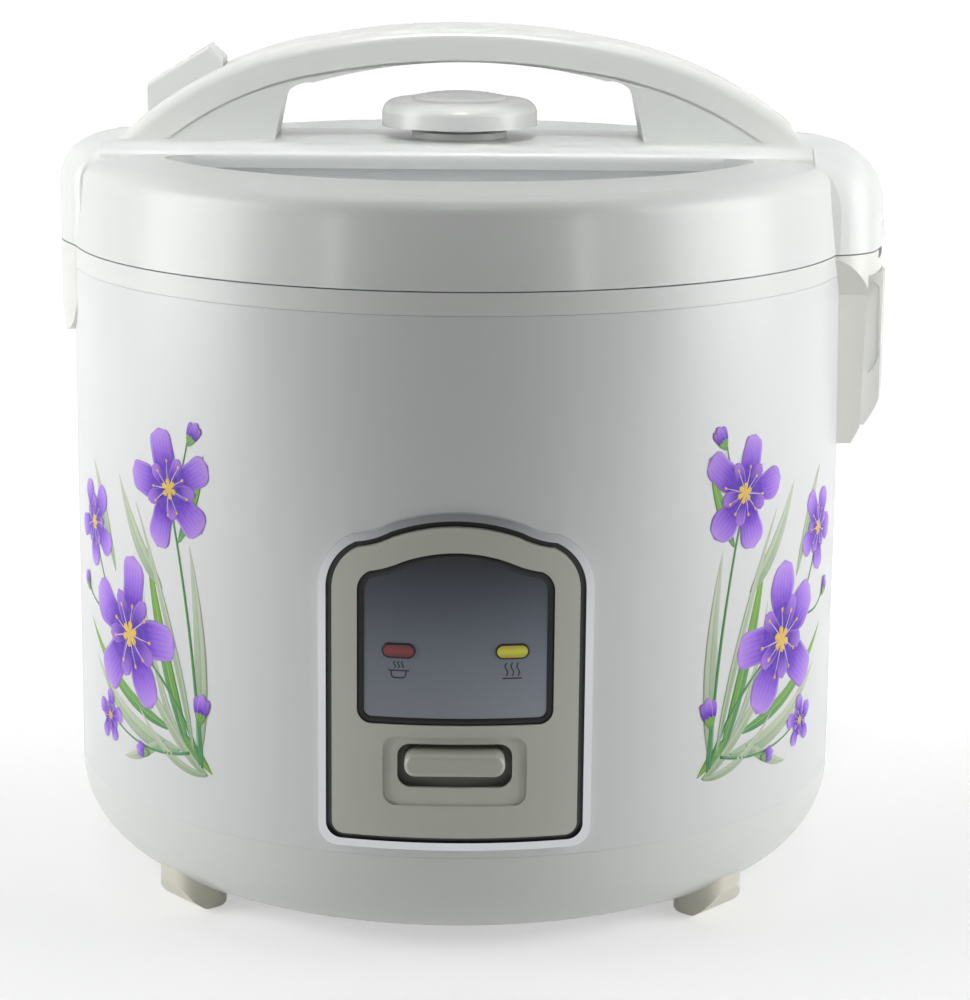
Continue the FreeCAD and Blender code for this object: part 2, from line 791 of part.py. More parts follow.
FACE_INSET = "(bezel_width + moat_width)"
LABEL_INSET = "(bezel_width + moat_width + label_margin)"
label_outline = panel_corners(LABEL_INSET, "label_bottom", "label_corner")
face = curved_plate("FaceBlank", FACE_INSET, "body_radius + backing_proud", "face_front")
label_well = common("LabelWell",
                    prism("LabelWellFlat", FRONT_VIEW, [label_outline],
                          "body_radius * 0.6", "body_radius * 1.1"),
                    tube("LabelWellBend", "label_back", "face_front + 2",
                         "panel_bottom", "panel_crown_top"))
lever_well = common("LeverWell",
                    prism("LeverWellFlat", FRONT_VIEW,
                          [slot_corners("recess_half_width", "recess_bottom", "recess_top",
                                        "slot_corner")],
                          "body_radius * 0.6", "body_radius * 1.1"),
                    tube("LeverWellBend", "face_front - recess_depth", "face_front + 2",
                         "panel_bottom", "panel_crown_top"))
face_cutters = fuse("FaceCutters", [front_cutters, label_well, lever_well])
keep(cut("FacePlate", face, face_cutters), "panel_face")

label = common("LabelBlank",
               prism("LabelFlat", FRONT_VIEW, [label_outline],
                     "body_radius * 0.6", "body_radius * 1.1"),
               tube("LabelBend", "label_back", "label_front",
                    "panel_bottom", "panel_crown_top"))
lens_holes = fuse("LensHoles", [left_lens_hole, right_lens_hole])
keep(cut("LabelPlate", label, lens_holes), "label_plate")

for lens_name, side in (("cook_lamp_lens", -1), ("warm_lamp_lens", 1)):
    lens_flat = prism(lens_name + "_flat", FRONT_VIEW, [lens_corners(side, "0")],
                      "body_radius * 0.7", "body_radius * 1.1")
    lens_bend = tube(lens_name + "_bend", "label_front - lens_depth",
                     "label_front + lens_proud", "panel_bottom", "panel_crown_top")
    keep(common(lens_name + "_solid", lens_flat, lens_bend), lens_name)

# ---------------------------------------------------------------- shell and top ring
shell_blank = tube("ShellBlank", "shell_inside", "body_radius", "shell_bottom", "shell_top")
shell_window = prism("ShellWindow", FRONT_VIEW,
                     [panel_corners("(bezel_width * 3 + moat_width)")],
                     "body_radius * 0.6", "body_radius * 1.1")
hinge_window = block("HingeWindow",
                     ("bracket_root", "-hinge_anchor_half", "seam - hinge_anchor_drop"),
                     ("body_radius + 5", "hinge_anchor_half", "seam + 1"))
catch_window = block("CatchWindow",
                     ("-body_radius - 5", "-catch_box_half", "seam - catch_box_drop"),
                     ("-catch_box_inside", "catch_box_half", "seam + 1"))
inlet_window = block("InletWindow",
                     ("-inlet_half_width - fit_gap", "body_radius * 0.8",
                      "inlet_height - inlet_half_height - fit_gap"),
                     ("inlet_half_width + fit_gap", "body_radius * 1.1",
                      "inlet_height + inlet_half_height + fit_gap"))
shell_cutters = fuse("ShellCutters",
                     [shell_window, hinge_window, catch_window, inlet_window])
keep(cut("ShellTube", shell_blank, shell_cutters), "outer_shell")

ring = new_body("RingForm")
revolve(ring, "RingTurned", [
    ("body_radius", "shell_top + 0.1"),
    ("body_radius", "seam"),
    ("ring_rebate_radius", "seam"),
    ("ring_rebate_radius", "seam - ring_shelf_drop"),
    ("liner_radius + fit_gap", "seam - ring_shelf_drop"),
    ("liner_radius + fit_gap", "seam - ring_collar_drop"),
    ("liner_radius + fit_gap + ring_wall", "seam - ring_collar_drop"),
    ("liner_radius + fit_gap + ring_wall", "seam - ring_shelf_drop - ring_wall"),
    ("shell_inside - fit_gap - ring_wall", "seam - ring_shelf_drop - ring_wall"),
    ("shell_inside - fit_gap - ring_wall", "shell_top - ring_skirt"),
    ("shell_inside - fit_gap", "shell_top - ring_skirt"),
    ("shell_inside - fit_gap", "shell_top + 0.1"),
])
ring_cutters = fuse("RingCutters", [hinge_window, catch_window])
keep(cut("RingCut", ring, ring_cutters), "top_ring")

# ---------------------------------------------------------------- pot, liner and heater
pot = new_body("inner_pot")
revolve(pot, "PotTurned", [
    ("0", "pot_floor_height"),
    ("pot_radius - pot_corner", "pot_floor_height", "pot_corner", 1),
    ("pot_radius", "pot_floor_height + pot_corner"),
    ("pot_radius", "flange_top - pot_wall"),
    ("pot_flange_radius", "flange_top - pot_wall"),
    ("pot_flange_radius", "flange_top"),
    ("pot_radius - pot_wall", "flange_top"),
    ("pot_radius - pot_wall", "pot_floor_height + pot_corner", "pot_corner - pot_wall", -1),
    ("pot_radius - pot_corner", "pot_floor_height + pot_wall"),
    ("0", "pot_floor_height + pot_wall"),
])
keep(pot, "inner_pot")

liner = new_body("inner_liner")
revolve(liner, "LinerTurned", [
    ("sensor_radius + 1", "liner_floor_height"),
    ("liner_radius - liner_corner", "liner_floor_height", "liner_corner", 1),
    ("liner_radius", "liner_floor_height + liner_corner"),
    ("liner_radius", "seam - ring_shelf_drop - ring_wall"),
    ("liner_radius - liner_wall", "seam - ring_shelf_drop - ring_wall"),
    ("liner_radius - liner_wall", "liner_floor_height + liner_corner",
     "liner_corner - liner_wall", -1),
    ("liner_radius - liner_corner", "liner_floor_top"),
    ("sensor_radius + 1", "liner_floor_top"),
])
keep(liner, "inner_liner")

heater = new_body("heating_plate")
revolve(heater, "PlateTurned", [
    ("plate_bore_radius", "plate_bottom"),
    ("plate_radius - 8", "plate_bottom"),
    ("plate_radius", "plate_bottom + 4"),
    ("plate_radius", "plate_top - plate_rim_drop"),
    ("plate_radius * 0.6", "plate_top"),
    ("plate_bore_radius", "plate_top"),
])
keep(heater, "heating_plate")

for number, bearing in enumerate((90, 210, 330), start=1):
    post = rod("plate_post_%d" % number, "post_radius", "plate_bottom - liner_floor_top",
               ("post_circle * %.9f" % math.cos(math.radians(bearing)),
                "post_circle * %.9f" % math.sin(math.radians(bearing)), "liner_floor_top"))
    keep(post, "plate_post_%d" % number)

sensor = new_body("sensor_cup")
revolve(sensor, "SensorTurned", [
    ("0", "plate_top - sensor_wall"),
    ("sensor_radius - sensor_wall", "plate_top - sensor_wall"),
    ("sensor_radius - sensor_wall", "plate_top - sensor_height"),
    ("sensor_radius", "plate_top - sensor_height"),
    ("sensor_radius", "plate_top"),
    ("0", "plate_top"),
])
keep(sensor, "sensor_cup")

magnet = new_body("upper_magnet")
revolve(magnet, "MagnetTurned", [
    ("rod_radius + 1", "plate_top - sensor_wall - magnet_thickness"),
    ("magnet_radius", "plate_top - sensor_wall - magnet_thickness"),
    ("magnet_radius", "plate_top - sensor_wall"),
    ("rod_radius + 1", "plate_top - sensor_wall"),
])
keep(magnet, "upper_magnet")

case = new_body("sensor_case")
revolve(case, "CaseTurned", [
    ("sensor_case_radius - sensor_wall", "liner_floor_top"),
    ("sensor_case_flange", "liner_floor_top"),
    ("sensor_case_flange", "liner_floor_top + sensor_wall"),
    ("sensor_case_radius", "liner_floor_top + sensor_wall"),
    ("sensor_case_radius", "plate_top - 2 * sensor_wall"),
    ("sensor_case_radius - sensor_wall", "plate_top - 2 * sensor_wall"),
])
keep(case, "sensor_case")

armature = new_body("magnet_rod")
revolve(armature, "RodTurned", [
    ("0", "rod_foot"),
    ("rod_radius", "rod_foot"),
    ("rod_radius", "collar_bottom"),
    ("rod_collar_radius", "collar_bottom"),
    ("rod_collar_radius", "collar_bottom + rod_collar_thickness"),
    ("rod_radius", "collar_bottom + rod_collar_thickness"),
    ("rod_radius", "armature_top - magnet_thickness"),
    ("magnet_radius", "armature_top - magnet_thickness"),
    ("magnet_radius", "armature_top"),
    ("0", "armature_top"),
])
keep(armature, "magnet_rod")


# ---------------------------------------------------------------- lid
lid_ring = new_body("LidRingForm")
revolve(lid_ring, "LidRingTurned", [
    ("body_radius", "lid_bottom"),
    ("lid_wall_top_radius", "lid_shoulder", "lid_shoulder_radius", 1),
    ("lid_crown_start", "lid_shoulder_top", "lid_crown_radius", 1),
    ("window_radius", "lid_top"),
    ("window_radius", "glass_top"),
    ("glass_radius + fit_gap", "glass_top"),
    ("glass_radius + fit_gap", "lid_shoulder_top - lid_wall"),
    ("lid_crown_start - lid_wall * 0.4", "lid_shoulder_top - lid_wall"),
    ("lid_wall_top_radius - lid_wall", "lid_shoulder"),
    ("body_radius - lid_wall", "lid_bottom"),
])


def nose_plan(sign, kind, inset, bulge, root, back="0", slim="0"):
    """Plan of a nose: a shallow curved face with large round corners.

    The inset is taken off all round, bulge is added to the face, and back and slim
    draw the face and the sides in, as the rounded top does with height.
    """
    size = kind + "_nose_"
    outer = "(%sreach + %s - %s - %s)" % (size, bulge, inset, back)
    side = "(%shalf_width - %s - %s)" % (size, inset, slim)
    flat = "(%sface_half - %s - %s)" % (size, inset, slim)
    bend = "(%splan_radius - %s)" % (size, inset)
    round_off = "(%scorner - %s * 0.5)" % (size, inset)
    face = "(%s - %s + sqrt(%s ^ 2 - %s ^ 2))" % (outer, bend, bend, flat)
    shoulder = "(nose_corner_x + %s - %s * 0.6 - %s)" % (bulge, inset, back)
    flip = "" if sign > 0 else "-"
    return [
        (flip + root, "-" + side),
        (flip + shoulder, "-" + side, round_off, sign),
        (flip + face, "-" + flat, bend, sign),
        (flip + face, flat, round_off, sign),
        (flip + shoulder, side),
        (flip + root, side),
    ]


def nose(name, sign, kind, inset, root, bottom):
    """A nose with a pillow-shaped top, or its hollow when it is set in by a wall."""
    radius = "(%s_nose_top_radius - %s)" % (kind, inset)
    start = "(bridge_top - %s_nose_top_radius)" % kind
    deep = "(nose_root - 40)"
    sections = []
    for step, angle in enumerate((0.0, 22.5, 45.0, 67.5, 90.0)):
        sine = math.sin(math.radians(angle))
        cosine = math.cos(math.radians(angle))
        section = free_sketch("%sSection%d" % (name, step), TOP_VIEW)
        back = "%s * %.9f" % (radius, 1.0 - cosine)
        slim = "%s_nose_side_round * %.9f" % (kind, 1.0 - cosine)
        draw(section, nose_plan(sign, kind, inset, "0", deep, "(%s)" % back, "(%s)" % slim))
        bind(section, "Placement.Base.z", "%s + %s * %.9f" % (start, radius, sine))
        sections.append(section)
    pillow = doc.addObject("Part::Loft", name + "Pillow")
    pillow.Sections = sections
    pillow.Solid = True
    column = prism(name + "Column", TOP_VIEW, [nose_plan(sign, kind, inset, "0", deep)],
                   bottom, start)
    whole = fuse(name + "Whole", [pillow, column])
    low, high = (root, "nose_root + 60") if sign > 0 else ("-nose_root - 60", "-" + root)
    return common(name, whole, block(name + "Room", (low, "-body_radius", "%s - 1" % bottom),
                                     (high, "body_radius", "bridge_top + 1")))


latch_nose = nose("LatchNose", -1, "latch", "0", "nose_root", "lid_bottom")
hinge_nose = nose("HingeNose", 1, "hinge", "0", "nose_root", "lid_bottom")
latch_hollow = nose("LatchHollow", -1, "latch", "lid_wall", "(nose_root + lid_wall)",
                    "lid_bottom - 1")
hinge_hollow = nose("HingeHollow", 1, "hinge", "lid_wall", "(nose_root + lid_wall)",
                    "lid_bottom - 1")
root_hollows = [block("RootHollow%d" % side,
                      (low, "-bridge_half_width + 2 * lid_wall", "lid_bottom - 1"),
                      (high, "bridge_half_width - 2 * lid_wall", "bridge_under"))
                for side, low, high in (
                    (1, "nose_root - 0.5", "nose_root + lid_wall + 1"),
                    (2, "-nose_root - lid_wall - 1", "-nose_root + 0.5"))]

bridge = prism("BridgeBar", SIDE_VIEW, [[
    ("-bridge_half_width", "glass_top"),
    ("bridge_half_width", "glass_top"),
    ("bridge_half_width", "bridge_top - bridge_edge", "bridge_edge", 1),
    ("bridge_half_width - bridge_edge", "bridge_top"),
    ("-bridge_half_width + bridge_edge", "bridge_top", "bridge_edge", 1),
    ("-bridge_half_width", "bridge_top - bridge_edge"),
]], "-nose_root - 2", "nose_root + 2")
bridge_hollow = block("BridgeHollow",
                      ("-nose_root", "-bridge_half_width + lid_wall", "glass_top - 1"),
                      ("nose_root", "bridge_half_width - lid_wall", "bridge_under"))
tube_hole = rod("TubeHole", "tube_radius + socket_gap", "20", ("0", "0", "bridge_under - 5"))
arm_opening = block("ArmOpening",
                    ("-hook_axis_x + hook_elbow_run", "-hook_half_width - 0.6",
                     "bridge_under - 1"),
                    ("-stem_x + 4.2", "hook_half_width + 0.6", "bridge_top + 1"))
CORNER_BEND = "(window_radius - window_corner)"
CORNER_X = "sqrt(%s ^ 2 - (bridge_half_width + window_corner) ^ 2)" % CORNER_BEND
CORNER_Y = "(bridge_half_width + window_corner)"
WINDOW_END = "sqrt(window_radius ^ 2 - bridge_half_width ^ 2)"
gussets = [prism("WindowCorner%d" % number, TOP_VIEW, [[
    (along + CORNER_X, across + "bridge_half_width"),
    (along + CORNER_X, across + "(bridge_half_width - 1)"),
    (along + "(" + WINDOW_END + " + 0.6)", across + "(bridge_half_width - 1)"),
    ("%s%s * (window_radius + 0.4) / %s" % (along, CORNER_X, CORNER_BEND),
     "%s%s * (window_radius + 0.4) / %s" % (across, CORNER_Y, CORNER_BEND)),
    ("%s%s * window_radius / %s" % (along, CORNER_X, CORNER_BEND),
     "%s%s * window_radius / %s" % (across, CORNER_Y, CORNER_BEND), "window_corner", turn),
]], "glass_top", "lid_top") for number, along, across, turn in (
    (1, "", "", -1), (2, "-", "", 1), (3, "-", "-", -1), (4, "", "-", 1))]
lid_outside = fuse("LidOutside", [lid_ring, bridge, latch_nose, hinge_nose] + gussets)
lid_inside = fuse("LidInside", [bridge_hollow, latch_hollow, hinge_hollow, tube_hole,
                                arm_opening] + root_hollows)
lid_shell = cut("LidShell", lid_outside, lid_inside)

barrel = rod("HingeBarrel", "hinge_barrel_radius", "2 * hinge_barrel_half_length",
             ("hinge_axis_x", "hinge_barrel_half_length", "hinge_axis_z"), Vector(0, -1, 0))
barrel_web = common("BarrelWeb", hinge_nose, block(
    "BarrelWebBlock",
    ("hinge_axis_x - 3", "-hinge_barrel_half_length", "hinge_axis_z"),
    ("hinge_nose_reach + 1", "hinge_barrel_half_length", "bridge_under")))
ribs = [block("HookRib%d" % side,
              ("-hook_outside + 3", "%s" % low, "hook_axis_z - 4.5"),
              ("-nose_root + 0.5", "%s" % high, "bridge_under + 0.5"))
        for side, low, high in (
            (1, "hook_half_width + fit_gap", "hook_half_width + fit_gap + hook_rib_thickness"),
            (2, "-hook_half_width - fit_gap - hook_rib_thickness",
             "-hook_half_width - fit_gap"))]
lid_joined = fuse("LidJoined", [lid_shell, barrel, barrel_web] + ribs)
hinge_bore = rod("HingeBore", "hinge_pin_radius + running_gap", "4 * hinge_barrel_half_length",
                 ("hinge_axis_x", "2 * hinge_barrel_half_length", "hinge_axis_z"),
                 Vector(0, -1, 0))
hook_bore = rod("HookBore", "hook_pin_radius", "4 * hook_half_width",
                ("-hook_axis_x", "2 * hook_half_width", "hook_axis_z"), Vector(0, -1, 0))
ear_rooms = [rod("EarRoom%d" % side, "hinge_ear_radius + hinge_side_gap",
                 "hinge_ear_thickness + 2 * hinge_side_gap",
                 ("hinge_axis_x", start, "hinge_axis_z"), Vector(0, -1, 0))
             for side, start in (
                 (1, "hinge_barrel_half_length + hinge_ear_thickness + 2 * hinge_side_gap"),
                 (2, "-hinge_barrel_half_length"))]
lid_bores = fuse("LidBores", [hinge_bore, hook_bore] + ear_rooms)
keep(cut("LidBored", lid_joined, lid_bores), "lid_cover")

glass = new_body("glass_window")
revolve(glass, "GlassTurned", [
    ("tube_radius + socket_gap", "glass_bottom"),
    ("glass_radius", "glass_bottom"),
    ("glass_radius", "glass_top"),
    ("tube_radius + socket_gap", "glass_top"),
])
keep(glass, "glass_window")

frame = new_body("lid_frame")
revolve(frame, "FrameTurned", [
    ("cover_wall_radius - cover_wall", "gasket_top"),
    ("pot_flange_radius - 1", "gasket_top"),
    ("pot_flange_radius - 1", "gasket_top + cover_wall"),
    ("cover_wall_radius", "gasket_top + cover_wall"),
    ("cover_wall_radius", "glass_bottom - cover_wall"),
    ("cover_flange_radius", "glass_bottom - cover_wall"),
    ("cover_flange_radius", "glass_bottom"),
    ("cover_wall_radius - cover_wall", "glass_bottom"),
])
keep(frame, "lid_frame")

gasket = new_body("lid_gasket")
revolve(gasket, "GasketTurned", [
    ("pot_flange_radius - gasket_width * 0.85", "gasket_bottom"),
    ("pot_flange_radius - gasket_width * 0.4", "gasket_bottom"),
    ("pot_flange_radius - 1", "gasket_top"),
    ("pot_flange_radius - 1 - gasket_width", "gasket_top"),
])
keep(gasket, "lid_gasket")

# ---------------------------------------------------------------- hinge bracket and dew cup
bracket_plan = prism("BracketPlan", TOP_VIEW,
                     [nose_plan(1, "hinge", "0", "0", "nose_root")],
                     "seam - bracket_depth - 5", "seam")
bracket_side = prism("BracketSide", FRONT_VIEW, [[
    ("nose_root", "seam - bracket_depth"),
    ("bracket_face - bracket_toe_run", "seam - bracket_depth"),
    ("bracket_face", "seam - bracket_depth + bracket_toe"),
    ("bracket_face", "seam - cup_top_drop"),
    ("hinge_nose_reach + 1", "seam - cup_top_drop"),
    ("hinge_nose_reach + 1", "seam"),
    ("nose_root", "seam"),
]], "-body_radius", "body_radius")
bracket_front = prism("BracketFront", SIDE_VIEW, [[
    ("-bracket_low_half", "seam - bracket_depth"),
    ("bracket_low_half", "seam - bracket_depth"),
    ("bracket_waist_half", "seam - bracket_waist_drop"),
    ("hinge_nose_half_width + 1", "seam"),
    ("-hinge_nose_half_width - 1", "seam"),
    ("-bracket_waist_half", "seam - bracket_waist_drop"),
]], "0", "body_radius + 40")
bracket_block = common("BracketBlock", common("BracketProfile", bracket_plan, bracket_side),
                       bracket_front)
body_core = rod("BodyCore", "body_radius", "seam - shell_bottom + 5",
                ("0", "0", "shell_bottom - 2"))
bracket_skin = cut("BracketSkin", bracket_block, body_core)
anchor = block("HingeAnchor",
               ("bracket_root + fit_gap", "-hinge_anchor_half + fit_gap",
                "seam - hinge_anchor_drop + fit_gap"),
               ("cup_root - fit_gap", "hinge_anchor_half - fit_gap", "seam"))
saddle = rod("HingeSaddle", "hinge_saddle_radius", "2 * hinge_saddle_half",
             ("hinge_axis_x", "hinge_saddle_half", "hinge_axis_z"), Vector(0, -1, 0))
cup_pocket = block("CupPocket",
                   ("cup_root - fit_gap", "-cup_half_width - fit_gap",
                    "seam - cup_top_drop - cup_depth - fit_gap"),
                   ("hinge_nose_reach + 5", "cup_half_width + fit_gap", "seam - cup_top_drop"))
bracket_body = cut("BracketBody", fuse("BracketJoined", [bracket_skin, anchor]),
                   fuse("BracketCutters", [saddle, cup_pocket]))
ears = [prism("HingeEar%d" % side, FRONT_VIEW, [[
    ("bracket_root + fit_gap", "seam - 3"),
    ("bracket_root + fit_gap + hinge_ear_root", "seam - 3"),
    ("hinge_axis_x - hinge_ear_radius * 1.9", "hinge_axis_z - hinge_ear_radius * 0.9"),
    ("hinge_axis_x - hinge_ear_radius * 0.9", "hinge_axis_z - hinge_ear_radius * 0.4"),
    ("hinge_axis_x - hinge_ear_radius * 0.3", "hinge_axis_z + hinge_ear_radius * 0.95"),
    ("bracket_root + fit_gap", "hinge_axis_z"),
]], low, high) for side, low, high in (
    (1, "hinge_barrel_half_length + hinge_side_gap",
     "hinge_barrel_half_length + hinge_side_gap + hinge_ear_thickness"),
    (2, "-hinge_barrel_half_length - hinge_side_gap - hinge_ear_thickness",
     "-hinge_barrel_half_length - hinge_side_gap"))]
eyes = [rod("HingeEye%d" % side, "hinge_ear_radius", "hinge_ear_thickness",
            ("hinge_axis_x", start, "hinge_axis_z"), Vector(0, -1, 0))
        for side, start in (
            (1, "hinge_barrel_half_length + hinge_side_gap + hinge_ear_thickness"),
            (2, "-hinge_barrel_half_length - hinge_side_gap"))]
pin_hole = rod("HingePinHole", "hinge_pin_radius", "4 * hinge_barrel_half_length",
               ("hinge_axis_x", "2 * hinge_barrel_half_length", "hinge_axis_z"),
               Vector(0, -1, 0))
bracket_full = fuse("BracketFull", [bracket_body] + ears + eyes)
keep(cut("BracketBored", bracket_full, pin_hole), "hinge_bracket")

hinge_pin = rod("hinge_pin", "hinge_pin_radius",
                "2 * (hinge_barrel_half_length + hinge_side_gap + hinge_ear_thickness + 0.3)",
                ("hinge_axis_x",
                 "hinge_barrel_half_length + hinge_side_gap + hinge_ear_thickness + 0.3",
                 "hinge_axis_z"), Vector(0, -1, 0))
keep(hinge_pin, "hinge_pin")


def cup_form(name, inset, top):
    """The dew cup's outside, or its hollow when it is set in by a wall."""
    side = prism(name + "Side", FRONT_VIEW, [[
        ("cup_root + " + inset, "seam - cup_top_drop - cup_depth + " + inset),
        ("bracket_face + 2 - " + inset, "seam - cup_top_drop - cup_depth + " + inset,
         "cup_depth * 0.8", 1),
        ("hinge_nose_reach + cup_bulge - " + inset, "seam - cup_top_drop - cup_depth * 0.55"),
        ("hinge_nose_reach - " + inset, top),
        ("cup_root + " + inset, top),
    ]], "-cup_half_width + " + inset, "cup_half_width - " + inset)
    plan = prism(name + "Plan", TOP_VIEW,
                 [nose_plan(1, "hinge", inset, "cup_bulge", "nose_root")],
                 "seam - bracket_depth", "seam + 5")
    return common(name, side, plan)


cup_outside = cup_form("CupOutside", "0", "seam - cup_top_drop - fit_gap")
cup_inside = cup_form("CupInside", "cup_wall", "seam")
cup_grips = [prism("CupGrip%d" % side, FRONT_VIEW, [[
    ("bracket_face - 1", "seam - cup_grip_bottom + 5"),
    ("bracket_face + 3", "seam - cup_grip_bottom", "9", 1),
    ("hinge_nose_reach - 2.5", "seam - cup_grip_bottom + 9"),
    ("hinge_nose_reach - 2.5", "seam - cup_grip_top - 3", "3.2", 1),
    ("hinge_nose_reach - 5.5", "seam - cup_grip_top"),
    ("bracket_face - 1", "seam - cup_grip_top"),
]], low, high) for side, low, high in (
    (1, "cup_half_width - cup_grip_depth", "cup_half_width + 1"),
    (2, "-cup_half_width - 1", "-cup_half_width + cup_grip_depth"))]
keep(cut("CupHollow", cut("CupGripped", cup_outside, fuse("CupGrips", cup_grips)),
         cup_inside), "dew_cup")

# ---------------------------------------------------------------- lid latch
catch_plan = prism("CatchPlan", TOP_VIEW, [nose_plan(-1, "latch", "0", "0", "nose_root")],
                   "seam - catch_depth - 5", "seam")
catch_side = prism("CatchSide", FRONT_VIEW, [[
    ("-nose_root", "seam"),
    ("-latch_nose_reach", "seam"),
    ("-latch_nose_reach", "seam - catch_depth * 0.35", "catch_depth * 1.6", 1),
    ("-catch_low_reach", "seam - catch_depth"),
    ("-nose_root", "seam - catch_depth"),
]], "-body_radius", "body_radius")
catch_front = prism("CatchFront", SIDE_VIEW, [[
    ("-catch_low_half + 14", "seam - catch_depth"),
    ("catch_low_half - 14", "seam - catch_depth", "14.5", 1),
    ("catch_low_half", "seam - catch_depth + 14"),
    ("latch_nose_half_width + 1", "seam"),
    ("-latch_nose_half_width - 1", "seam"),
    ("-catch_low_half", "seam - catch_depth + 14", "14.5", 1),
]], "-body_radius - 20", "0")
catch_block = common("CatchBlock", common("CatchProfile", catch_plan, catch_side), catch_front)
catch_skin = cut("CatchSkin", catch_block, body_core)
catch_box = block("CatchBox",
                  ("-body_radius - 1", "-catch_box_half + fit_gap",
                   "seam - catch_box_drop + fit_gap"),
                  ("-catch_box_inside - fit_gap", "catch_box_half - fit_gap", "seam"))
hook_pocket = block("HookPocket",
                    ("-latch_nose_reach + catch_wall", "-hook_half_width - 1.5",
                     "hook_bottom - 2.5"),
                    ("-hook_tip + hook_tooth_gap", "hook_half_width + 1.5", "seam + 2"))
tooth_window = block("ToothWindow",
                     ("-hook_tip", "-hook_half_width - 1.5", "hook_bottom - 2.5"),
                     ("-catch_box_inside + 1", "hook_half_width + 1.5",
                      "seam - hook_ledge_drop"))
keep(cut("CatchCut", fuse("CatchJoined", [catch_skin, catch_box]),
         fuse("CatchCutters", [hook_pocket, tooth_window])), "latch_catch")

hook_plate = prism("HookPlate", FRONT_VIEW, [[
    ("-hook_outside", "hook_bottom"),
    ("-hook_tip - 1", "hook_bottom"),
    ("-hook_tip", "hook_bottom + 1"),
    ("-hook_tip", "hook_bottom + hook_tooth_height"),
    ("-hook_inside", "hook_bottom + hook_tooth_height"),
    ("-hook_inside", "hook_axis_z - 6"),
    ("-hook_axis_x", "hook_axis_z - hook_boss_radius * 0.5"),
    ("-hook_axis_x + hook_boss_radius * 0.6", "hook_axis_z + hook_boss_radius * 0.8"),
    ("-hook_axis_x + hook_elbow_run + 1.7", "bridge_under - 3"),
    ("-hook_axis_x + hook_pad_run + 0.3", "hook_axis_z + hook_pad_rise - hook_arm_thickness"),
    ("-hook_axis_x + hook_pad_run + hook_pad_length",
     "hook_axis_z + hook_pad_rise - hook_arm_thickness"),
    ("-hook_axis_x + hook_pad_run + hook_pad_length", "hook_axis_z + hook_pad_rise"),
    ("-hook_axis_x + hook_pad_run - 1.5", "hook_axis_z + hook_pad_rise"),
    ("-hook_axis_x + hook_elbow_run", "bridge_under - 0.45"),
    ("-hook_axis_x + 2.5", "bridge_under - 1"),
    ("-hook_axis_x - hook_boss_radius * 0.6", "hook_axis_z + hook_boss_radius * 0.8"),
    ("-hook_outside", "hook_axis_z - 2"),
]], "-hook_half_width", "hook_half_width")
hook_boss = rod("HookBoss", "hook_boss_radius", "2 * hook_half_width",
                ("-hook_axis_x", "hook_half_width", "hook_axis_z"), Vector(0, -1, 0))
hook_eye = rod("HookEye", "hook_pin_radius + running_gap", "4 * hook_half_width",
               ("-hook_axis_x", "2 * hook_half_width", "hook_axis_z"), Vector(0, -1, 0))
keep(cut("HookBored", fuse("HookJoined", [hook_plate, hook_boss]), hook_eye), "latch_hook")
keep(rod("latch_pin", "hook_pin_radius",
         "2 * (hook_half_width + fit_gap + hook_rib_thickness)",
         ("-hook_axis_x", "hook_half_width + fit_gap + hook_rib_thickness", "hook_axis_z"),
         Vector(0, -1, 0)), "latch_pin")

# ---------------------------------------------------------------- carrying handle


def handle_corners(depth):
    """Outline of the handle from above its feet up, set in by a depth all the way."""
    crown = "(handle_crown_radius - %s)" % depth
    share = "%s / handle_crown_radius" % crown
    left = "(handle_top_offset - handle_left_break * %s)" % share
    right = "(handle_top_offset + handle_right_break * %s)" % share
    hub = "(handle_top - handle_crown_radius)"
    left_z = "(%s + sqrt(handle_crown_radius ^ 2 - handle_left_break ^ 2) * %s)" % (hub, share)
    right_z = "(%s + sqrt(handle_crown_radius ^ 2 - handle_right_break ^ 2) * %s)" % (hub, share)
    foot = "(handle_left_foot - %s * 0.71)" % depth
    foot_z = "(bridge_top - %s * 0.71)" % depth
    return [
        ("-%s - 12" % foot, "%s - 12" % foot_z),
        ("handle_right_foot - %s" % depth, "%s - 12" % foot_z),
        ("handle_right_foot - %s" % depth, "bridge_top"),
        ("handle_right_foot - handle_knee_run - %s * 0.62" % depth,
         "bridge_top + handle_knee_rise - %s * 0.79" % depth,
         "handle_right_radius - %s" % depth, 1),
        (right, right_z, crown, 1),
        (left, left_z, "handle_left_radius - %s" % depth, 1),
        ("-%s" % foot, foot_z),
    ]


handle_block = prism("HandleBlock", FRONT_VIEW, [handle_corners("0")],
                     "-handle_half_width", "handle_half_width")
under_band = prism("UnderBand", FRONT_VIEW, [handle_corners("handle_band")],
                   "-handle_half_width - 5", "handle_half_width + 5")
below_bridge = block("BelowBridge", ("-150", "-30", "bridge_top - 40"), ("150", "30", "bridge_top"))
handle_band = cut("HandleBand", handle_block, fuse("BandCutters", [under_band, below_bridge]))
OUTER_RADII = ("handle_crown_radius", "handle_left_radius", "handle_right_radius")
handle_soft = fillet_edges(
    "HandleSoft", handle_band, "handle_edge",
    lambda edge: (abs(abs(edge.CenterOfMass.y) - val("handle_half_width")) < 0.01 and
                  hasattr(edge.Curve, "Radius") and
                  min(abs(edge.Curve.Radius - val(radius)) for radius in OUTER_RADII) < 0.001))
inner_band = prism("InnerBand", FRONT_VIEW, [handle_corners("handle_band")],
                   "-handle_half_width + handle_inset", "handle_half_width - handle_inset")
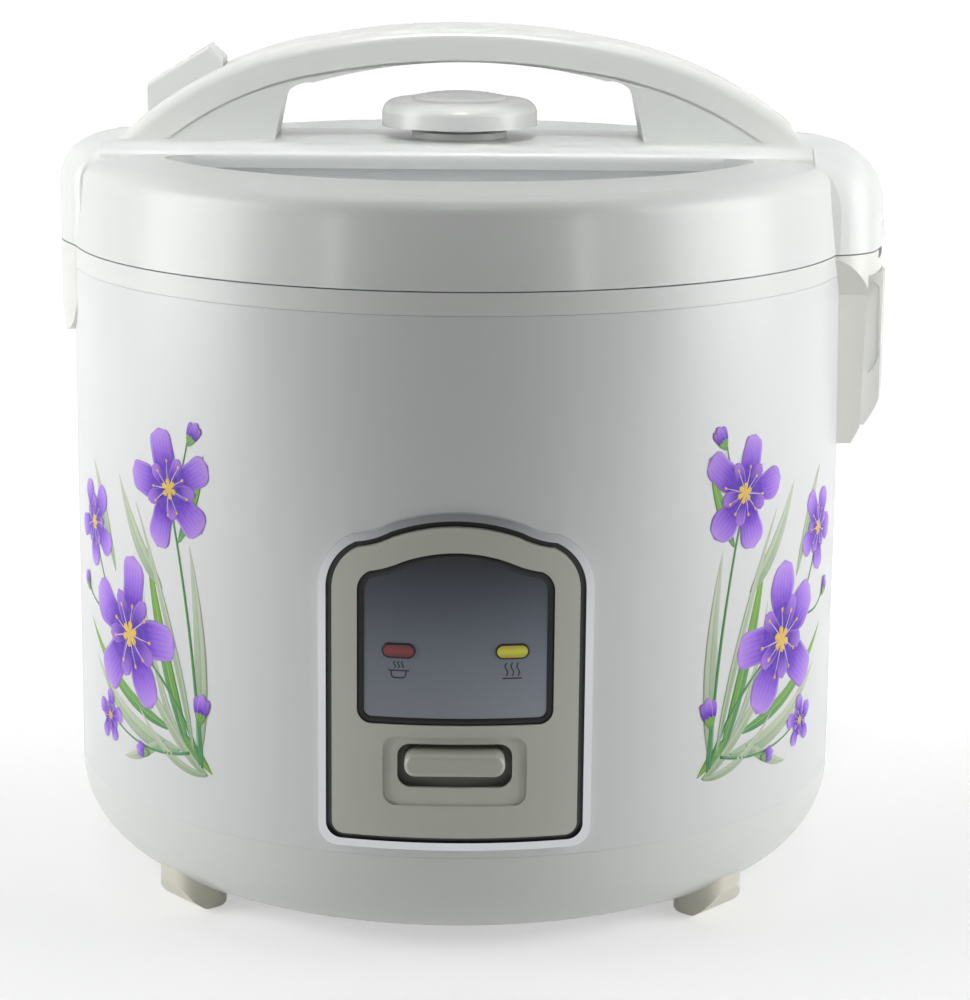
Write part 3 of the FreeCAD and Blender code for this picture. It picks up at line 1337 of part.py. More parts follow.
arch = prism("ArchCut", FRONT_VIEW, [[
    ("-arch_foot", "bridge_top - 5"),
    ("arch_foot", "bridge_top - 5"),
    ("arch_foot", "bridge_top"),
    ("arch_knee", "bridge_top + arch_knee_rise", "arch_corner_radius", 1),
    ("arch_shoulder", "bridge_top + arch_right_rise", "arch_crown_radius", 1),
    ("-arch_shoulder", "bridge_top + arch_left_rise", "arch_corner_radius", 1),
    ("-arch_knee", "bridge_top + arch_knee_rise"),
    ("-arch_foot", "bridge_top"),
]], "-30", "30")
arm_cavity = prism("ArmCavity", FRONT_VIEW, [[
    ("-stem_x - 8.6", "bridge_top - 1"),
    ("-stem_x + 4.2", "bridge_top - 1"),
    ("-stem_x + 4.2", "bridge_top + 4.4"),
    ("-stem_x - 4.2", "bridge_top + 4.4"),
    ("-stem_x - 8.6", "bridge_top + 0.2"),
]], "-hook_half_width - 0.6", "hook_half_width + 0.6")
stem_hole = rod("StemHole", "stem_radius + well_gap", "20", ("-stem_x", "0", "bridge_top"))


def button_corners(gap, drop):
    """Side outline of the release button; its well is wider by a gap and deeper."""
    low = "(bridge_top + button_low_rise)"
    high = "(bridge_top + button_high_rise)"
    left = "(-button_left - %s)" % gap
    right = "(-button_right + %s)" % gap
    return [
        (left, "%s - button_depth - %s" % (low, drop)),
        (right, "%s - button_depth - button_shoulder_drop + 3 - %s" % (high, drop)),
        (right, "%s - button_shoulder_drop" % high),
        ("-button_shoulder", high),
        (left, low),
    ]


button_well = prism("ButtonWell", FRONT_VIEW,
                    [button_corners("well_gap", "(button_travel + well_gap)")],
                    "-button_half_width - well_gap", "button_half_width + well_gap")
handle_cutters = fuse("HandleCutters", [arm_cavity, stem_hole, button_well])
keep(cut("HandleWells", handle_soft, handle_cutters), "handle_cover")
core_cutters = fuse("CoreCutters", [below_bridge, arch, arm_cavity, stem_hole, button_well])
keep(cut("HandleCore", inner_band, core_cutters), "handle_body")

button_block = prism("ButtonBlock", FRONT_VIEW, [button_corners("0", "0")],
                     "-button_half_width", "button_half_width")
button_soft = fillet_edges(
    "ButtonSoft", button_block, "button_edge",
    lambda edge: (abs(abs(edge.CenterOfMass.y) - val("button_half_width")) < 0.01 and
                  edge.CenterOfMass.z > val("bridge_top + button_low_rise") and
                  abs(edge.tangentAt(edge.FirstParameter).x) > 0.1))
stem = rod("ButtonStem", "stem_radius", "bridge_top + button_low_rise - stem_bottom - 4",
           ("-stem_x", "0", "stem_bottom"))
keep(fuse("ButtonJoined", [button_soft, stem]), "release_button")

# ---------------------------------------------------------------- steam vent
cap = new_body("vent_cap")
revolve(cap, "CapTurned", [
    ("0", "cap_top - cap_wall - 0.5"),
    ("tube_radius + socket_gap", "cap_top - cap_wall - 0.5"),
    ("tube_radius + socket_gap", "bridge_top + tube_flange + fit_gap"),
    ("tube_radius + socket_gap + cap_wall * 0.7", "bridge_top + tube_flange + fit_gap"),
    ("tube_radius + socket_gap + cap_wall * 0.7", "cap_top - cap_wall - cap_shoulder * 0.7"),
    ("cap_radius - cap_wall * 1.6", "cap_bottom + cap_skirt + 0.5"),
    ("cap_radius - cap_wall", "cap_bottom"),
    ("cap_radius", "cap_bottom"),
    ("cap_radius", "cap_bottom + cap_skirt", "cap_shoulder * 1.25", 1),
    ("cap_radius - cap_shoulder", "cap_bottom + cap_skirt + cap_shoulder"),
    ("cap_dome_half + 0.8", "cap_top - 2.4"),
    ("cap_dome_half", "cap_dome_foot", "cap_dome_radius", 1),
    ("0", "cap_top"),
])
keep(cap, "vent_cap")

vent_tube = new_body("vent_tube")
revolve(vent_tube, "TubeTurned", [
    ("tube_inside", "glass_bottom - vent_seal_thickness"),
    ("tube_radius", "glass_bottom - vent_seal_thickness"),
    ("tube_radius", "bridge_top"),
    ("tube_flange_radius", "bridge_top"),
    ("tube_flange_radius", "bridge_top + tube_flange"),
    ("tube_radius", "bridge_top + tube_flange"),
    ("tube_radius", "cap_top - cap_wall - 2"),
    ("tube_inside", "cap_top - cap_wall - 2"),
])
keep(vent_tube, "vent_tube")

vent_seal = new_body("vent_seal")
revolve(vent_seal, "SealTurned", [
    ("tube_radius", "glass_bottom - vent_seal_thickness"),
    ("vent_seal_radius", "glass_bottom - vent_seal_thickness"),
    ("vent_seal_radius", "glass_bottom"),
    ("tube_radius", "glass_bottom"),
])
keep(vent_seal, "vent_seal")

# ---------------------------------------------------------------- cook lever
knob_block = prism("KnobBlock", FRONT_VIEW, [slot_corners("knob_half_width", "knob_bottom",
                                                          "knob_top", "knob_corner")],
                   "knob_back", "knob_front")
knob = fillet_edges("KnobSoft", knob_block, "knob_edge",
                    lambda edge: edge.BoundBox.YMax < -val("knob_front") + 0.01)
keep(knob, "switch_knob")

lever_strip = prism("LeverStrip", SIDE_VIEW, [[
    ("-knob_back", "lever_top - lever_thickness"),
    ("lever_end", "lever_top - lever_thickness"),
    ("lever_end", "lever_top"),
    ("-knob_back + lever_thickness", "lever_top"),
    ("-knob_back + lever_thickness", "knob_top - 1"),
    ("-knob_back", "knob_top - 1"),
]], "-lever_half_width", "lever_half_width")
lever_boss = rod("LeverBoss", "lever_boss_radius", "2 * lever_half_width",
                 ("-lever_half_width", "lever_pivot_y", "lever_pivot_z"), Vector(1, 0, 0))
lever_bore = rod("LeverBore", "lever_pin_radius + running_gap", "4 * lever_half_width",
                 ("-2 * lever_half_width", "lever_pivot_y", "lever_pivot_z"), Vector(1, 0, 0))
lever_eye = rod("LeverEye", "lever_eye_radius", "4 * lever_thickness",
                ("0", "0", "lever_top - 2.5 * lever_thickness"))
keep(cut("LeverBored", fuse("LeverJoined", [lever_strip, lever_boss]),
         fuse("LeverCutters", [lever_bore, lever_eye])), "switch_lever")

yoke_block = block("YokeBlock",
                   ("-lever_half_width - fit_gap - lever_bracket_wall",
                    "lever_pivot_y - lever_bracket_half", "lever_pivot_z - 4"),
                   ("lever_half_width + fit_gap + lever_bracket_wall",
                    "lever_pivot_y + lever_bracket_half", "liner_floor_height"))
yoke_gap = block("YokeGap",
                 ("-lever_half_width - fit_gap", "lever_pivot_y - lever_bracket_half - 1",
                  "lever_pivot_z - 5"),
                 ("lever_half_width + fit_gap", "lever_pivot_y + lever_bracket_half + 1",
                  "liner_floor_height - lever_bracket_wall"))
yoke_bore = rod("YokeBore", "lever_pin_radius", "4 * lever_half_width",
                ("-2 * lever_half_width", "lever_pivot_y", "lever_pivot_z"), Vector(1, 0, 0))
keep(cut("YokeBored", cut("YokeOpen", yoke_block, yoke_gap), yoke_bore), "lever_bracket")
keep(rod("lever_pin", "lever_pin_radius",
         "2 * (lever_half_width + fit_gap + lever_bracket_wall)",
         ("-lever_half_width - fit_gap - lever_bracket_wall", "lever_pivot_y",
          "lever_pivot_z"), Vector(1, 0, 0)), "lever_pin")

# ---------------------------------------------------------------- power inlet at the back
inlet_flat = prism("InletFlat", FRONT_VIEW, [[
    ("-inlet_half_width - inlet_flange", "inlet_height - inlet_half_height - inlet_flange"),
    ("inlet_half_width + inlet_flange", "inlet_height - inlet_half_height - inlet_flange"),
    ("inlet_half_width + inlet_flange", "inlet_height + inlet_half_height + inlet_flange"),
    ("-inlet_half_width - inlet_flange", "inlet_height + inlet_half_height + inlet_flange"),
]], "-body_radius * 1.1", "-body_radius * 0.6")
inlet_bend = tube("InletBend", "body_radius", "body_radius + inlet_flange_thickness",
                  "inlet_height - 30", "inlet_height + 30")
inlet_flange = common("InletFlange", inlet_flat, inlet_bend)
inlet_box = block("InletBox",
                  ("-inlet_half_width", "body_radius - inlet_depth",
                   "inlet_height - inlet_half_height"),
                  ("inlet_half_width", "body_radius + inlet_flange_thickness * 0.6",
                   "inlet_height + inlet_half_height"))
inlet_room = block("InletRoom",
                   ("-inlet_half_width + inlet_wall",
                    "body_radius - inlet_depth + inlet_wall",
                    "inlet_height - inlet_half_height + inlet_wall"),
                   ("inlet_half_width - inlet_wall", "body_radius + 10",
                    "inlet_height + inlet_half_height - inlet_wall"))
keep(cut("InletHollow", fuse("InletJoined", [inlet_flange, inlet_box]), inlet_room),
     "power_inlet")
for number, (shift, lift) in enumerate(((-1, -0.3), (0, 0.35), (1, -0.3)), start=1):
    keep(block("inlet_pin_%d" % number,
               ("%d * inlet_pin_pitch - inlet_pin_thickness / 2" % shift,
                "body_radius - inlet_depth + inlet_wall",
                "inlet_height + %.2f * inlet_half_height - inlet_pin_width / 2" % lift),
               ("%d * inlet_pin_pitch + inlet_pin_thickness / 2" % shift,
                "body_radius - inlet_depth + inlet_wall + inlet_pin_length",
                "inlet_height + %.2f * inlet_half_height + inlet_pin_width / 2" % lift)),
         "inlet_pin_%d" % number)

# ---------------------------------------------------------------- check and write
doc.recompute()
for item in doc.Objects:
    if "Invalid" in item.State or "Error" in item.State:
        raise RuntimeError("%s failed: %s" % (item.Label, item.State))
for node in NODES:
    if node.Shape.isNull() or not node.Shape.isValid() or node.Shape.Volume <= 0:
        raise RuntimeError(node.Label + " is not a sound solid")
os.makedirs("parts", exist_ok=True)
for node in NODES:
    node.Shape.exportStep("parts/%s.step" % node.Label)
    print("%-22s %2d solids %10.1f mm3" % (node.Label, len(node.Shape.Solids), node.Shape.Volume))
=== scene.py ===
"""Dresses the rice cooker: finishes for its moulded, metal and glass pieces, the printed
flower sprays on the shell, the label's edging and symbols, the lever's shutter, the pad
over the hinge, and the floor, the light and the camera."""
import math

import bmesh
import bpy
import numpy as np
from mathutils import Matrix, Vector


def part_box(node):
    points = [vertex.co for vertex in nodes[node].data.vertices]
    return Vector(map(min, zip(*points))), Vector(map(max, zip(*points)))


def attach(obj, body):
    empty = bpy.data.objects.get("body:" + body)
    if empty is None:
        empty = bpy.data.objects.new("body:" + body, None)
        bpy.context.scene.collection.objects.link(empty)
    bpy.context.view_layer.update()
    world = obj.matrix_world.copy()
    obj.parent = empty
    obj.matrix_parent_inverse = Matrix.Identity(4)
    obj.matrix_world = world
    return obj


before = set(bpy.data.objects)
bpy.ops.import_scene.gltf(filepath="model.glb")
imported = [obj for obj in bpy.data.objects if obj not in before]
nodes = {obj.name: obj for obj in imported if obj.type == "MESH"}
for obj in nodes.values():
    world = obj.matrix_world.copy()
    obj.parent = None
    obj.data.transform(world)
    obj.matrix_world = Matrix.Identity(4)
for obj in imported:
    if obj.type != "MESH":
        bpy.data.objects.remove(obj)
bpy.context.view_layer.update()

MM = 0.001
# Radii of the shell's wall and of the label film, in millimetres from the pot's axis.
WALL = -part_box("outer_shell")[0].y / MM
FILM = -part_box("label_plate")[0].y / MM
# Lamp lenses: distance from the middle, height, half length and half height in millimetres.
LENS_X, LENS_HEIGHT, LENS_HALF_LENGTH, LENS_HALF_HEIGHT = 17.4, 103.3, 4.7, 1.9


# ---------------------------------------------------------------- finishes
def srgb(red, green, blue):
    """Linear colour of an 8 bit display colour: ((c + 0.055) / 1.055) ^ 2.4."""
    values = []
    for level in (red, green, blue):
        c = level / 255.0
        values.append(c / 12.92 if c <= 0.04045 else ((c + 0.055) / 1.055) ** 2.4)
    return tuple(values)


def shade(colour, factor):
    """A colour made darker or lighter by a factor."""
    return tuple(min(1.0, max(0.0, c * factor)) for c in colour)


class Wiring:
    """A node tree and short ways to add to it."""

    def __init__(self, tree):
        self.tree = tree

    def node(self, kind, **settings):
        """A new node with its settings."""
        made = self.tree.nodes.new(kind)
        for key, value in settings.items():
            setattr(made, key, value)
        return made

    def put(self, node, socket, value):
        """Sets a socket of a node to a value."""
        node.inputs[socket].default_value = value

    def join(self, source, target):
        """Links one socket to another."""
        self.tree.links.new(source, target)

    def axes(self, vector):
        """The three numbers of a vector."""
        split = self.node("ShaderNodeSeparateXYZ")
        self.join(vector, split.inputs["Vector"])
        return split.outputs["X"], split.outputs["Y"], split.outputs["Z"]

    def ranged(self, source, before, after, steps="LINEAR"):
        """Maps one range of a value to another and stops at its ends."""
        made = self.node("ShaderNodeMapRange", interpolation_type=steps)
        for socket, value in zip(("From Min", "From Max", "To Min", "To Max"),
                                 (*before, *after)):
            self.put(made, socket, value)
        self.join(source, made.inputs["Value"])
        return made.outputs["Result"]

    def sums(self, kind, first, second=0.0):
        """One sum of two values, each a socket or a plain number."""
        made = self.node("ShaderNodeMath", operation=kind)
        for index, value in enumerate((first, second)):
            if isinstance(value, float):
                made.inputs[index].default_value = value
            else:
                self.join(value, made.inputs[index])
        return made.outputs["Value"]

    def mixed(self, factor, first, second):
        """A shader between two shaders."""
        mix = self.node("ShaderNodeMixShader")
        for index, socket in enumerate((factor, first, second)):
            self.join(socket, mix.inputs[index])
        return mix.outputs[0]

    def white(self, kind, strength):
        """White light from a shader, its strength a socket or a plain number."""
        made = self.node(kind)
        self.put(made, "Color", (1.0, 1.0, 1.0, 1.0))
        if isinstance(strength, float):
            self.put(made, "Strength", strength)
        else:
            self.join(strength, made.inputs["Strength"])
        return made.outputs[0]

    def seen_rays(self):
        """Two shares, 0 for the light that falls on the object: 1 for rays that come straight
        or through glass, and 1 for those and for mirrored ones."""
        rays = self.node("ShaderNodeLightPath").outputs
        straight = self.sums("MAXIMUM", rays["Is Camera Ray"], rays["Is Transmission Ray"])
        return straight, self.sums("MAXIMUM", straight, rays["Is Glossy Ray"])


class Finish(Wiring):
    """A node material: the Principled shader and what makes its colour, polish and height."""

    def __init__(self, name, colour, roughness, metallic=0.0, coat=0.0):
        self.material = bpy.data.materials.new(name)
        self.material.use_nodes = True
        super().__init__(self.material.node_tree)
        self.shader = self.tree.nodes["Principled BSDF"]
        self.put(self.shader, "Base Color", (*colour, 1.0))
        self.put(self.shader, "Roughness", roughness)
        self.put(self.shader, "Metallic", metallic)
        self.put(self.shader, "Coat Weight", coat)
        coordinates = self.node("ShaderNodeTexCoord")
        self.place = coordinates.outputs["Object"]
        self.laid = coordinates.outputs["UV"]

    def noise(self, cells, detail=2.0, place=None):
        """Noise over the piece's own place in metres, in cells per metre."""
        texture = self.node("ShaderNodeTexNoise")
        self.put(texture, "Scale", cells)
        self.put(texture, "Detail", detail)
        self.join(place or self.place, texture.inputs["Vector"])
        return texture.outputs["Fac"]

    def turned(self):
        """A place made of the distance from the pot's axis and the height, so that a
        pattern over it runs round in rings as a lathe or press leaves them."""
        x, y, z = self.axes(self.place)
        squares = self.sums("ADD", self.sums("MULTIPLY", x, x), self.sums("MULTIPLY", y, y))
        rings = self.node("ShaderNodeCombineXYZ")
        self.join(self.sums("SQRT", squares), rings.inputs["X"])
        self.join(z, rings.inputs["Y"])
        return rings.outputs["Vector"]

    def spread(self, source, low, high):
        """Maps the middle of a noise to a range."""
        return self.ranged(source, (0.3, 0.7), (low, high))

    def from_middle(self, value, middle):
        """How far a value is from a middle."""
        return self.sums("ABSOLUTE", self.sums("SUBTRACT", value, middle))

    def blend(self, source, first, second):
        """A colour between two, each a socket or a plain colour."""
        mix = self.node("ShaderNodeMix", data_type="RGBA")
        for socket, colour in (("A", first), ("B", second)):
            if isinstance(colour, tuple):
                self.put(mix, socket, (*colour, 1.0))
            else:
                self.join(colour, mix.inputs[socket])
        self.join(source, mix.inputs["Factor"])
        return mix.outputs["Result"]

    def tint(self, source, first, second):
        """Base colour that runs between two colours."""
        self.join(self.blend(source, first, second), self.shader.inputs["Base Color"])

    def drift(self, noise, darkest, colour):
        """Base colour that drifts between a darker shade of a colour and the colour."""
        self.tint(self.ranged(noise, (0.1, 0.9), (0.0, 1.0)), shade(colour, darkest), colour)

    def polish(self, cells, low, high):
        """Roughness that drifts in a range."""
        self.join(self.spread(self.noise(cells), low, high), self.shader.inputs["Roughness"])

    def bumps(self, source, height, strength=0.5):
        """Height of the surface in metres, from a value."""
        bump = self.node("ShaderNodeBump")
        self.put(bump, "Strength", strength)
        self.put(bump, "Distance", height)
        self.join(source, bump.inputs["Height"])
        self.join(bump.outputs["Normal"], self.shader.inputs["Normal"])


def moulded_gloss(name, colour, roughness=0.34):
    """Glossy moulded plastic: slow colour drift and a faint ripple under an even polish."""
    made = Finish(name, colour, roughness, coat=0.25)
    made.drift(made.noise(9.0, 1.0), 0.97, colour)
    made.put(made.shader, "Coat Roughness", 0.18)
    made.bumps(made.noise(110.0), 0.000006)
    return made


def pearl_enamel(name, colour):
    """Baked pearl paint: very fine flakes under a clear coat, and a faint ripple."""
    made = Finish(name, colour, 0.32, coat=0.35)
    flakes = made.node("ShaderNodeTexVoronoi")
    made.put(flakes, "Scale", 5200.0)
    made.join(made.place, flakes.inputs["Vector"])
    split = made.node("ShaderNodeSeparateColor")
    made.join(flakes.outputs["Color"], split.inputs["Color"])
    made.tint(split.outputs["Red"], shade(colour, 0.985), colour)
    made.polish(40.0, 0.31, 0.335)
    made.put(made.shader, "Coat Roughness", 0.15)
    made.bumps(made.noise(90.0), 0.000005)
    return made


def satin_plastic(name, colour, roughness):
    """Satin moulded plastic with a fine spark-eroded grain."""
    made = Finish(name, colour, roughness)
    made.drift(made.noise(14.0), 0.97, colour)
    made.bumps(made.noise(2200.0), 0.00002)
    return made


def label_print(name, low, high):
    """Metallic label film whose grey deepens towards the top, and to the left."""
    made = Finish(name, (0.15, 0.17, 0.21), 0.30, coat=0.15)
    across, height = made.axes(made.place)[::2]
    margin = 0.004
    rise = made.ranged(height, (low.z + margin, high.z - margin), (0.0, 1.0))
    ramp = made.node("ShaderNodeValToRGB")
    greys = ramp.color_ramp.elements
    greys[0].color = (*srgb(158, 164, 176), 1.0)
    greys[1].color = (*srgb(46, 50, 60), 1.0)
    for at, colour in ((0.35, srgb(140, 147, 160)), (0.72, srgb(96, 103, 116))):
        greys.new(at).color = (*colour, 1.0)
    made.join(rise, ramp.inputs["Fac"])
    side = made.ranged(across, (low.x, high.x), (0.30, 0.0))
    toned = made.blend(side, ramp.outputs["Color"], srgb(52, 58, 66))
    fleck = made.spread(made.noise(3600.0), 0.0, 0.025)
    made.tint(fleck, toned, srgb(168, 174, 186))
    made.polish(60.0, 0.28, 0.31)
    made.put(made.shader, "Coat Roughness", 0.12)
    return made


def brushed(name, colour, roughness=0.32):
    """Turned or pressed metal: fine rings round the axis in its polish and height."""
    made = Finish(name, colour, roughness, metallic=1.0)
    rings = made.noise(900.0, 3.0, made.turned())
    made.join(made.ranged(rings, (0.1, 0.9), (roughness * 0.85, roughness * 1.2)),
              made.shader.inputs["Roughness"])
    made.drift(rings, 0.94, colour)
    made.bumps(rings, 0.000006, 0.3)
    return made


def plated_chrome(name):
    """Plated trim: mirror metal with a faint orange peel and fine wiping marks."""
    made = Finish(name, (0.62, 0.63, 0.65), 0.09, metallic=1.0)
    made.polish(60.0, 0.08, 0.11)
    made.bumps(made.noise(120.0, 1.0), 0.00002, 0.3)
    return made


def soft_rubber(name, colour):
    """Moulded silicone: a little light passes through it, and its skin is finely matt."""
    made = Finish(name, colour, 0.55)
    made.tint(made.spread(made.noise(30.0, 3.0), 0.0, 1.0), shade(colour, 0.9), colour)
    made.put(made.shader, "Subsurface Weight", 0.1)
    made.put(made.shader, "Subsurface Scale", 0.002)
    made.bumps(made.noise(900.0), 0.00003)
    return made


def tinted_glass(name, colour):
    """Toughened window glass with a grey tint that drifts a little."""
    made = Finish(name, colour, 0.02)
    made.put(made.shader, "Transmission Weight", 0.85)
    made.put(made.shader, "IOR", 1.5)
    made.drift(made.noise(12.0, 1.0), 0.97, colour)
    return made


def lamp_lens(name, middle, edge):
    """Dyed lens over its lamp chamber, glossy: a painted highlight makes it lighter along its
    middle height, and painted shade makes it darker towards its top and bottom edges.
    """
    made = Finish(name, middle, 0.16, coat=0.5)
    off = made.from_middle(made.axes(made.place)[2], LENS_HEIGHT * MM)
    # Painted light: the colour runs from the painted highlight at the middle height to painted
    # shade at the edges.
    made.tint(made.ranged(off, (0.0004, LENS_HALF_HEIGHT * MM), (0.0, 1.0)), middle, edge)
    made.polish(300.0, 0.14, 0.19)
    made.put(made.shader, "Coat Roughness", 0.05)
    return made


def petal_print(name, root, body, edge, veins):
    """Printed petal: deep at its root, paler to its rim, with fine veins along it."""
    made = Finish(name, body, 0.45, coat=0.15)
    along, across = made.axes(made.laid)[:2]
    base = made.blend(made.ranged(along, (0.05, 0.75), (0.0, 1.0)), root, body)
    paler = made.blend(made.ranged(along, (0.42, 1.0), (0.0, 0.95)), base, edge)
    waves = made.sums("SINE", made.sums("MULTIPLY", across, 44.0))
    lines = made.ranged(waves, (0.55, 1.0), (0.0, 0.55))
    fade = made.ranged(along, (0.3, 0.95), (1.0, 0.15))
    veined = made.blend(made.sums("MULTIPLY", lines, fade), paler, veins)
    rim = made.ranged(made.from_middle(across, 0.5), (0.40, 0.5), (0.0, 0.7))
    rimmed = made.blend(rim, veined, edge)
    made.tint(made.spread(made.noise(420.0, 3.0), 0.0, 0.14), rimmed, edge)
    made.polish(500.0, 0.42, 0.50)
    made.put(made.shader, "Specular IOR Level", 0.25)
    return made


def leaf_print(name, root, tip, rib):
    """Printed leaf: one half a little lighter, a midrib, and a drift from root to tip."""
    made = Finish(name, root, 0.42, coat=0.15)
    along, across = made.axes(made.laid)[:2]
    base = made.blend(made.ranged(along, (0.1, 0.95), (0.0, 1.0)), root, tip)
    half = made.ranged(across, (0.46, 0.54), (0.0, 0.30))
    lighter = made.blend(half, base, shade(tip, 1.25))
    line = made.ranged(made.from_middle(across, 0.5), (0.0, 0.07), (0.6, 0.0))
    ribbed = made.blend(line, lighter, rib)
    made.tint(made.spread(made.noise(380.0, 3.0), 0.0, 0.25), ribbed, tip)
    made.put(made.shader, "Coat Roughness", 0.10)
    return made


finishes = {
    "shell": pearl_enamel("shell_enamel", (0.80, 0.82, 0.81)),
    "lid": moulded_gloss("lid_plastic", (0.83, 0.85, 0.83)),
    "base": moulded_gloss("base_plastic", (0.81, 0.83, 0.80)),
    "handle": moulded_gloss("handle_plastic", (0.81, 0.82, 0.79), 0.28),
    "grip": moulded_gloss("handle_core_plastic", (0.78, 0.80, 0.77), 0.32),
    "cap": moulded_gloss("cap_plastic", (0.82, 0.83, 0.81), 0.26),
    "bracket": moulded_gloss("bracket_plastic", (0.82, 0.82, 0.77), 0.28),
    "foot": satin_plastic("foot_plastic", (0.79, 0.77, 0.66), 0.40),
    "chrome": plated_chrome("bezel_chrome"),
    "black": moulded_gloss("moat_plastic", (0.008, 0.008, 0.010), 0.20),
    "panel": satin_plastic("panel_plastic", (0.64, 0.65, 0.57), 0.34),
    "knob": satin_plastic("knob_plastic", (0.60, 0.61, 0.53), 0.32),
    # The shutter's dark grey is painted shade: the recess behind the knob is drawn darker than
    # the panel's own grey.
    "shutter": satin_plastic("shutter_painted_shade", (0.26, 0.265, 0.235), 0.40),
    "label": label_print("label_film", *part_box("label_plate")),
    "edging": satin_plastic("label_edging", (0.006, 0.006, 0.008), 0.45),
    "symbol": satin_plastic("symbol_ink", (0.020, 0.020, 0.024), 0.35),
    "pot": brushed("pot_aluminium", (0.62, 0.62, 0.62)),
    "sheet": brushed("sheet_aluminium", (0.70, 0.71, 0.72)),
    "cast": brushed("cast_aluminium", (0.55, 0.55, 0.55), 0.40),
    "steel": brushed("zinc_steel", (0.56, 0.57, 0.58), 0.30),
    "magnet": satin_plastic("sintered_magnet", (0.05, 0.05, 0.055), 0.5),
    "rubber": soft_rubber("gasket_silicone", (0.70, 0.70, 0.68)),
    "glass": tinted_glass("window_glass", (0.72, 0.78, 0.80)),
    "cup": satin_plastic("cup_plastic", (0.82, 0.83, 0.80), 0.55),
    # Each lens: its own hue lit by a painted highlight along its middle, then darkened by
    # painted shade at its edges.
    "red": lamp_lens("red_lens", (0.30, 0.010, 0.016), (0.11, 0.003, 0.006)),
    "yellow": lamp_lens("yellow_lens", (0.90, 0.86, 0.035), (0.62, 0.50, 0.02)),
    "inlet": satin_plastic("inlet_plastic", (0.03, 0.03, 0.03), 0.45),
    "brass": brushed("contact_brass", (0.72, 0.58, 0.30), 0.28),
    "violet": petal_print("violet_petal_ink", srgb(50, 2, 150), srgb(118, 24, 230),
                          srgb(204, 164, 246), srgb(56, 8, 160)),
    "deep": petal_print("deep_petal_ink", srgb(46, 6, 132), srgb(96, 28, 206),
                        srgb(186, 140, 232), srgb(50, 14, 136)),
    "sage": leaf_print("sage_leaf_ink", srgb(140, 172, 128), srgb(200, 208, 186),
                       srgb(112, 150, 96)),
    "green": leaf_print("green_leaf_ink", srgb(52, 134, 84), srgb(121, 172, 41),
                        srgb(190, 214, 120)),
    "stem": leaf_print("stem_ink", srgb(60, 140, 90), srgb(84, 152, 70), srgb(44, 112, 70)),
    "pollen": satin_plastic("pollen_ink", srgb(235, 196, 84), 0.34),
    "thread": satin_plastic("thread_ink", srgb(222, 200, 240), 0.34),
}
WEARS = {
    "base": ("base",), "bracket": ("hinge_bracket", "latch_catch", "latch_hook"),
    "shell": ("outer_shell",), "lid": ("top_ring", "lid_cover"), "chrome": ("panel_bezel",),
    "black": ("panel_backing",), "panel": ("panel_face",), "label": ("label_plate",),
    "red": ("cook_lamp_lens",), "yellow": ("warm_lamp_lens",), "knob": ("switch_knob",),
    "handle": ("handle_cover",), "grip": ("handle_body",), "glass": ("glass_window",),
    "cap": ("release_button", "vent_cap", "vent_tube"), "cup": ("dew_cup",),
    "rubber": ("lid_gasket", "vent_seal"), "pot": ("inner_pot",), "cast": ("heating_plate",),
    "sheet": ("inner_liner", "sensor_cup", "lid_frame"), "magnet": ("upper_magnet",),
    "steel": ("bottom_cover", "sensor_case", "magnet_rod", "hinge_pin", "latch_pin",
              "switch_lever", "lever_bracket", "lever_pin", "plate_post_1", "plate_post_2",
              "plate_post_3"),
    "inlet": ("power_inlet",), "brass": ("inlet_pin_1", "inlet_pin_2", "inlet_pin_3"),
    "foot": ("foot_front_left", "foot_front_right", "foot_rear_left", "foot_rear_right"),
}
for look, wearers in WEARS.items():
    for wearer in wearers:
        nodes[wearer].data.materials.clear()
        nodes[wearer].data.materials.append(finishes[look].material)


# ---------------------------------------------------------------- surfaces
def grid_quads(rows, columns, closed=False):
    """Quads of a grid of points, row by row. Closed joins its last column to its first."""
    index = np.arange(rows * columns).reshape(rows, columns)
    if closed:
        index = np.concatenate([index, index[:, :1]], axis=1)
    return np.stack([index[:-1, :-1], index[1:, :-1], index[1:, 1:], index[:-1, 1:]],
                    axis=-1).reshape(-1, 4)


def patch_of(points, across, along, closed=False):
    """A patch of (points, quads, uv) from a grid of points and its two shares."""
    rows, columns = points.shape[:2]
    uv = np.stack(np.broadcast_arrays(across, along), axis=-1)
    return points.reshape(-1, 3), grid_quads(rows, columns, closed), uv.reshape(-1, 2)


def gather(patches):
    """Joins patches and moves each one's quads past the points before them."""
    points, quads, uv = zip(*patches)
    starts = np.cumsum([0] + [len(patch) for patch in points[:-1]])
    return (np.concatenate(points),
            np.concatenate([patch + start for patch, start in zip(quads, starts)]),
            np.concatenate(uv))


